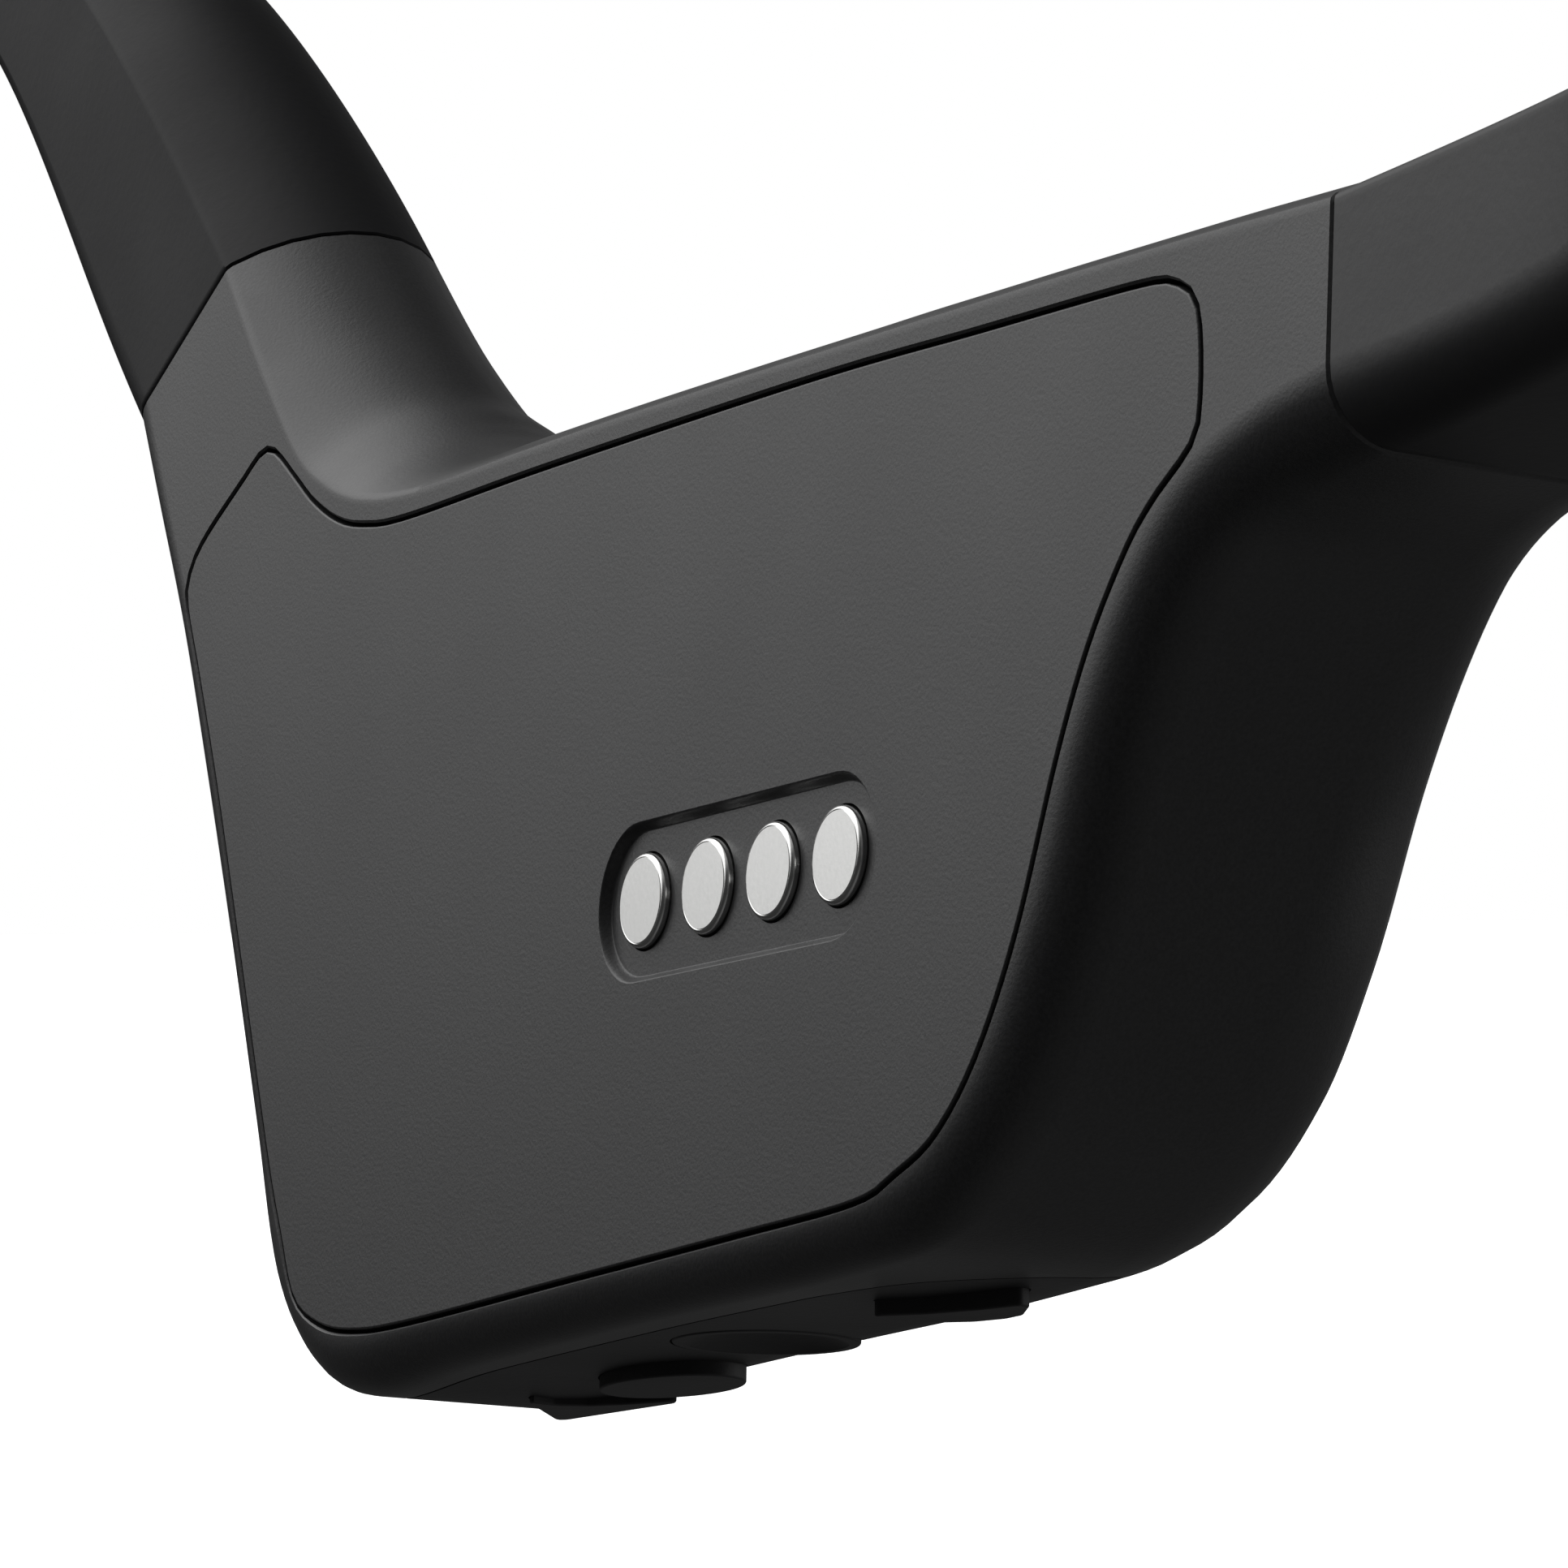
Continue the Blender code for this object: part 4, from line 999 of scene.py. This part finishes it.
def build_row_tree():
    inputs = (("Count", "Int"), ("Start", "Vector"), ("Pitch", "Vector"), ("Finish", "Material"))
    tree, given, keys = geometry_tree("row_of_pins", "Pin", inputs, "Row")
    nodes, links = tree.nodes, tree.links
    line = nodes.new("GeometryNodeMeshLine")
    place = nodes.new("GeometryNodeInstanceOnPoints")
    links.new(given.outputs["Count"], line.inputs["Count"])
    links.new(given.outputs["Start"], line.inputs["Start Location"])
    links.new(given.outputs["Pitch"], line.inputs["Offset"])
    links.new(line.outputs["Mesh"], place.inputs["Points"])
    links.new(given.outputs["Pin"], place.inputs["Instance"])
    realize_and_paint(tree, given, place.outputs["Instances"])
    return tree, keys


ROW_TREE, ROW_INPUTS = build_row_tree()


def make_row(name, build, count, start, pitch, finish):
    """Repeat a shape, given in world directions, along a line in millimetres."""
    piece = object_from(build, name)
    step = piece.modifiers.new("row", "NODES")
    step.node_group = ROW_TREE
    values = (count, tuple(start * MM), tuple(pitch * MM), finish)
    for identifier, value in zip(ROW_INPUTS, values):
        step[identifier] = value
    bake_tree(piece)
    return piece


pin = turned(PIN_PROFILE, lambda u, v, level: pod_turn @ Vector((level, u, v)))
first_pin = pod_to_world @ Vector((0.0, CONTACT_MIDDLE[0] - 1.5 * PITCH, CONTACT_MIDDLE[1]))
pins_fine = make_row("contact_pins_fine", pin, 4, first_pin,
                     pod_turn @ Vector((0.0, PITCH, 0.0)), CONTACT)
dress(pins_fine, CONTACT, "contact_metal", "right_side",
      *[f"contact_pin_{i}" for i in (1, 2, 3, 4)])

# %% [markdown]
# The strip follows the shell's own skin, so it is cut out of the same loft: keep what lies inside
# its outline. The four buttons are part of its surface to the eye, but each is its own cap.

# %% Buttons' outlines
PROUD = 0.3
BUTTON_GAP = 0.03
PLAY_CORNERS = ((-14.05, -3.3), (-14.25, -3.9), (-13.95, -4.5), (-13.3, -5.0), (-12.3, -5.55),
                (-12.25, -5.7), (-12.5, -5.8), (-16.35, -5.3), (-16.5, -5.15), (-16.4, -5.0),
                (-14.3, -3.35))
NEXT_CORNERS = ((1.5, -2.5), (1.65, -2.55), (2.3, -3.1), (3.35, -3.62), (4.2, -3.9), (4.32, -4.0),
                (4.2, -4.25), (3.2, -4.72), (2.6, -4.72), (1.9, -4.45), (1.45, -4.0),
                (1.3, -3.4), (1.35, -2.65))


def oval(middle, half_along, half_depth, count=72):
    turns = [2 * math.pi * i / count for i in range(count)]
    return np.array([(middle[0] + half_along * math.cos(a), middle[1] + half_depth * math.sin(a))
                     for a in turns])


def dense_polygon(corners, round_by=0.08):
    """Straight-sided outline with each corner cut round."""
    points = []
    count = len(corners)
    for i, corner in enumerate(corners):
        here = Vector(corner)
        before, after = Vector(corners[i - 1]), Vector(corners[(i + 1) % count])
        back = min(round_by, (before - here).length * 0.4)
        ahead = min(round_by, (after - here).length * 0.4)
        a = here + (before - here).normalized() * back
        b = here + (after - here).normalized() * ahead
        for t in (0.0, 0.33, 0.67, 1.0):
            points.append(tuple(a.lerp(here, t).lerp(here.lerp(b, t), t)))
    return np.array(points)


BUTTONS = {
    "play_button": (dense_polygon(PLAY_CORNERS), PROUD),
    "previous_button": (oval((-10.1, -4.45), 2.1, 1.25), PROUD),
    "mode_button": (oval((-5.1, -3.85), 1.85, 1.85), 0.0),
    "next_button": (dense_polygon(NEXT_CORNERS), PROUD),
}
print("buttons:", ", ".join(BUTTONS))

# %% [markdown]
# A hairline round each cap lets it travel. The dished cap has its hollow turned into it.

# %% Strip and buttons
STEM_RADIUS, STEM_END = 0.55, 2.9
GUIDE_RADIUS = 0.7
GUIDE_ENDS = (0.35, 3.0)


def stem_axis(outline):
    middle = outline.mean(axis=0)
    return lambda u, v, level: strip_point(middle[0] + v, middle[1] + u, level)


strip = object_from(loft(with_soft_ends(POD_RINGS)), "button_strip_fine", RIGHT, pod_to_world)
strip_levels = ((0.0, -3.0), (0.0, STRIP_THICKNESS))
keep = object_from(outline_prism(STRIP_OUTLINE, strip_levels, strip_point), "keep", RIGHT,
                   pod_to_world)
cut(strip, [keep], "INTERSECT")
holes = []
for outline, _ in BUTTONS.values():
    hole = outline_prism(outline, ((BUTTON_GAP, -3.0), (BUTTON_GAP, 3.0)), strip_point)
    holes.append(object_from(hole, "hole", RIGHT, pod_to_world))
    to_guide = stem_axis(outline)
    guide = turned([(GUIDE_RADIUS, level) for level in GUIDE_ENDS], to_guide, 24)
    holes.append(object_from(guide, "guide", RIGHT, pod_to_world))
cut(strip, holes)
dress(strip, STRIP, "silicone", "right_side", "button_strip")

CAP_ROUND = 0.05
CAP_BACK = 0.8
DISH = ((0.05, 0.335), (0.5, 0.325), (0.95, 0.27), (1.35, 0.14), (1.6, 0.015), (1.68, -0.06),
        (1.8, -0.4))
for name, (outline, proud) in BUTTONS.items():
    levels = [(0.0, CAP_BACK)]
    for step in (0, 1, 2, 3, 4):
        turn = math.pi / 2 * step / 4
        levels.append((-CAP_ROUND * (1 - math.cos(turn)),
                       -proud + CAP_ROUND * (1 - math.sin(turn))))
    cap = object_from(outline_prism(outline, levels, strip_point), name + "_fine", RIGHT,
                      pod_to_world)
    to_stem = stem_axis(outline)
    stem = turned(((STEM_RADIUS, 0.5), (STEM_RADIUS, STEM_END)), to_stem, 24)
    cut(cap, [object_from(stem, "stem", RIGHT, pod_to_world)], "UNION")
    if proud == 0.0:
        dish = object_from(turned(DISH, to_stem), "dish", RIGHT, pod_to_world)
        cut(cap, [dish])
    dress(cap, STRIP, "silicone", name.replace("button", "press"), name)

# %% [markdown]
# The transducer's housing is a rounded cup with a short neck that takes the hook. The pad over it
# is silicone, slightly crowned, and rests on the cheekbone.

# %% Transducer housings and pads
TRANSDUCER = Vector((-42.0, 0.0, 0.0))
HOUSING_HALF = (9.6, 10.8)
HOUSING_RINGS = (
    (0.30, -5.60), (0.52, -5.52), (0.66, -5.38), (0.78, -5.1), (0.87, -4.7), (0.935, -4.1),
    (0.975, -3.3), (0.995, -2.4), (1.0, -1.2), (1.0, 2.5), (0.993, 2.6), (0.90, 2.6),
    (0.88, 2.5), (0.88, -3.0), (0.86, -3.6), (0.80, -4.1),
)
PAD_RINGS = ((0.84, 1.9), (0.86, 2.0), (0.86, 2.66), (0.99, 2.68), (1.0, 2.74), (1.0, 3.9),
             (0.99, 4.5), (0.965, 4.95), (0.92, 5.3), (0.85, 5.5), (0.6, 5.58), (0.3, 5.6))


def superellipse(half_y, half_z, power=2.6, count=72):
    points = []
    for i in range(count):
        angle = 2 * math.pi * i / count
        c, s = math.cos(angle), math.sin(angle)
        points.append((math.copysign(abs(c) ** (2 / power) * half_y, c),
                       math.copysign(abs(s) ** (2 / power) * half_z, s)))
    return points


def housing_ring(share, depth):
    return [TRANSDUCER + Vector((depth, y * share, z * share))
            for y, z in superellipse(*HOUSING_HALF)]


def neck_rings():
    fore = HOOK_END_WAY.cross(TO_HEAD)
    rings = []
    for drop, grow in ((0.04, -0.05), (0.09, 0.0), (1.2, 0.0), (2.6, 0.12), (3.6, 0.45),
                       (4.4, 0.9)):
        outline = superellipse(HOOK_SIZE[0] / 2 + grow, HOOK_SIZE[1] / 2 + grow, 2.2, 48)
        rings.append([HOOK_END + HOOK_END_WAY * drop + Vector((u, 0.0, 0.0)) + fore * v
                      for u, v in outline])
    return rings


for side, prefix in ((RIGHT, "right"), (LEFT, "left")):
    housing = object_from(loft([housing_ring(*row) for row in HOUSING_RINGS]),
                          prefix + "_transducer_housing_fine", side)
    cut(housing, [object_from(loft(neck_rings()), "neck", side)], "UNION")
    hollow = [housing_ring(0.88, 3.0)] + [housing_ring(*row) for row in HOUSING_RINGS[-3:]]
    cut(housing, [object_from(loft(hollow), "hollow", side)])
    dress(housing, SHELL, "shell", prefix + "_side", prefix + "_transducer_housing")
    pad = object_from(loft([housing_ring(*row) for row in PAD_RINGS]), prefix + "_skin_pad_fine",
                      side)
    dress(pad, SILICONE, "silicone", prefix + "_side", prefix + "_skin_pad")

# %% [markdown]
# The voice coil is wound wire: four layers of turns, each turn a fine ring. It is the same kind of
# repetition as the pins, so the row tree makes it too.

# %% Voice coils
COIL_RADII = (5.72, 5.5, 5.28, 5.06)
COIL_WIRE = 0.105
COIL_TURNS = 12
COIL_START = 1.48
COIL_PITCH = 0.215


def coil_turn():
    """One slice of the winding: a fine ring of wire for each layer."""
    build = bmesh.new()
    for radius in COIL_RADII:
        rings = []
        for i in range(48):
            around = 2 * math.pi * i / 48
            ring = []
            for k in range(6):
                angle = 2 * math.pi * k / 6
                reach = radius + COIL_WIRE * math.cos(angle)
                ring.append(Vector((COIL_WIRE * math.sin(angle), reach * math.cos(around),
                                    reach * math.sin(around))))
            rings.append(ring)
        part = loft(rings, capped=False)
        mesh = bpy.data.meshes.new("turn")
        part.to_mesh(mesh)
        part.free()
        build.from_mesh(mesh)
        bpy.data.meshes.remove(mesh)
    return build


for side, prefix in ((RIGHT, "right"), (LEFT, "left")):
    start = Vector((side * (TRANSDUCER.x - COIL_START), 0.0, 0.0))
    coil = make_row(prefix + "_voice_coil_fine", coil_turn(), COIL_TURNS, start,
                    Vector((side * COIL_PITCH, 0.0, 0.0)), COPPER)
    dress(coil, COPPER, "copper", prefix + "_side", prefix + "_voice_coil")

# %% [markdown]
# The other pieces inside are right as the CAD has them and only need their real finish.

# %% Finishes of the inner pieces
INNER_FINISHES = {
    "cover_gasket": SILICONE, "yoke": STEEL, "magnet": MAGNET, "pole_plate": STEEL,
    "spring_plate": STEEL, "contact_block": CHIP, "main_board": BOARD, "switch_board": BOARD,
    "protection_board": BOARD, "memory_chip": CHIP, "processor_can": STEEL,
    "battery_cell": FOIL, "switch": STEEL,
}


def inner_finish(node):
    for ending, finish in INNER_FINISHES.items():
        if node.endswith(ending):
            return finish
    return None


painted = 0
for name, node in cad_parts.items():
    finish = inner_finish(name)
    if finish is not None:
        node.data.materials.clear()
        node.data.materials.append(finish)
        painted += 1
print(painted, "inner pieces painted")
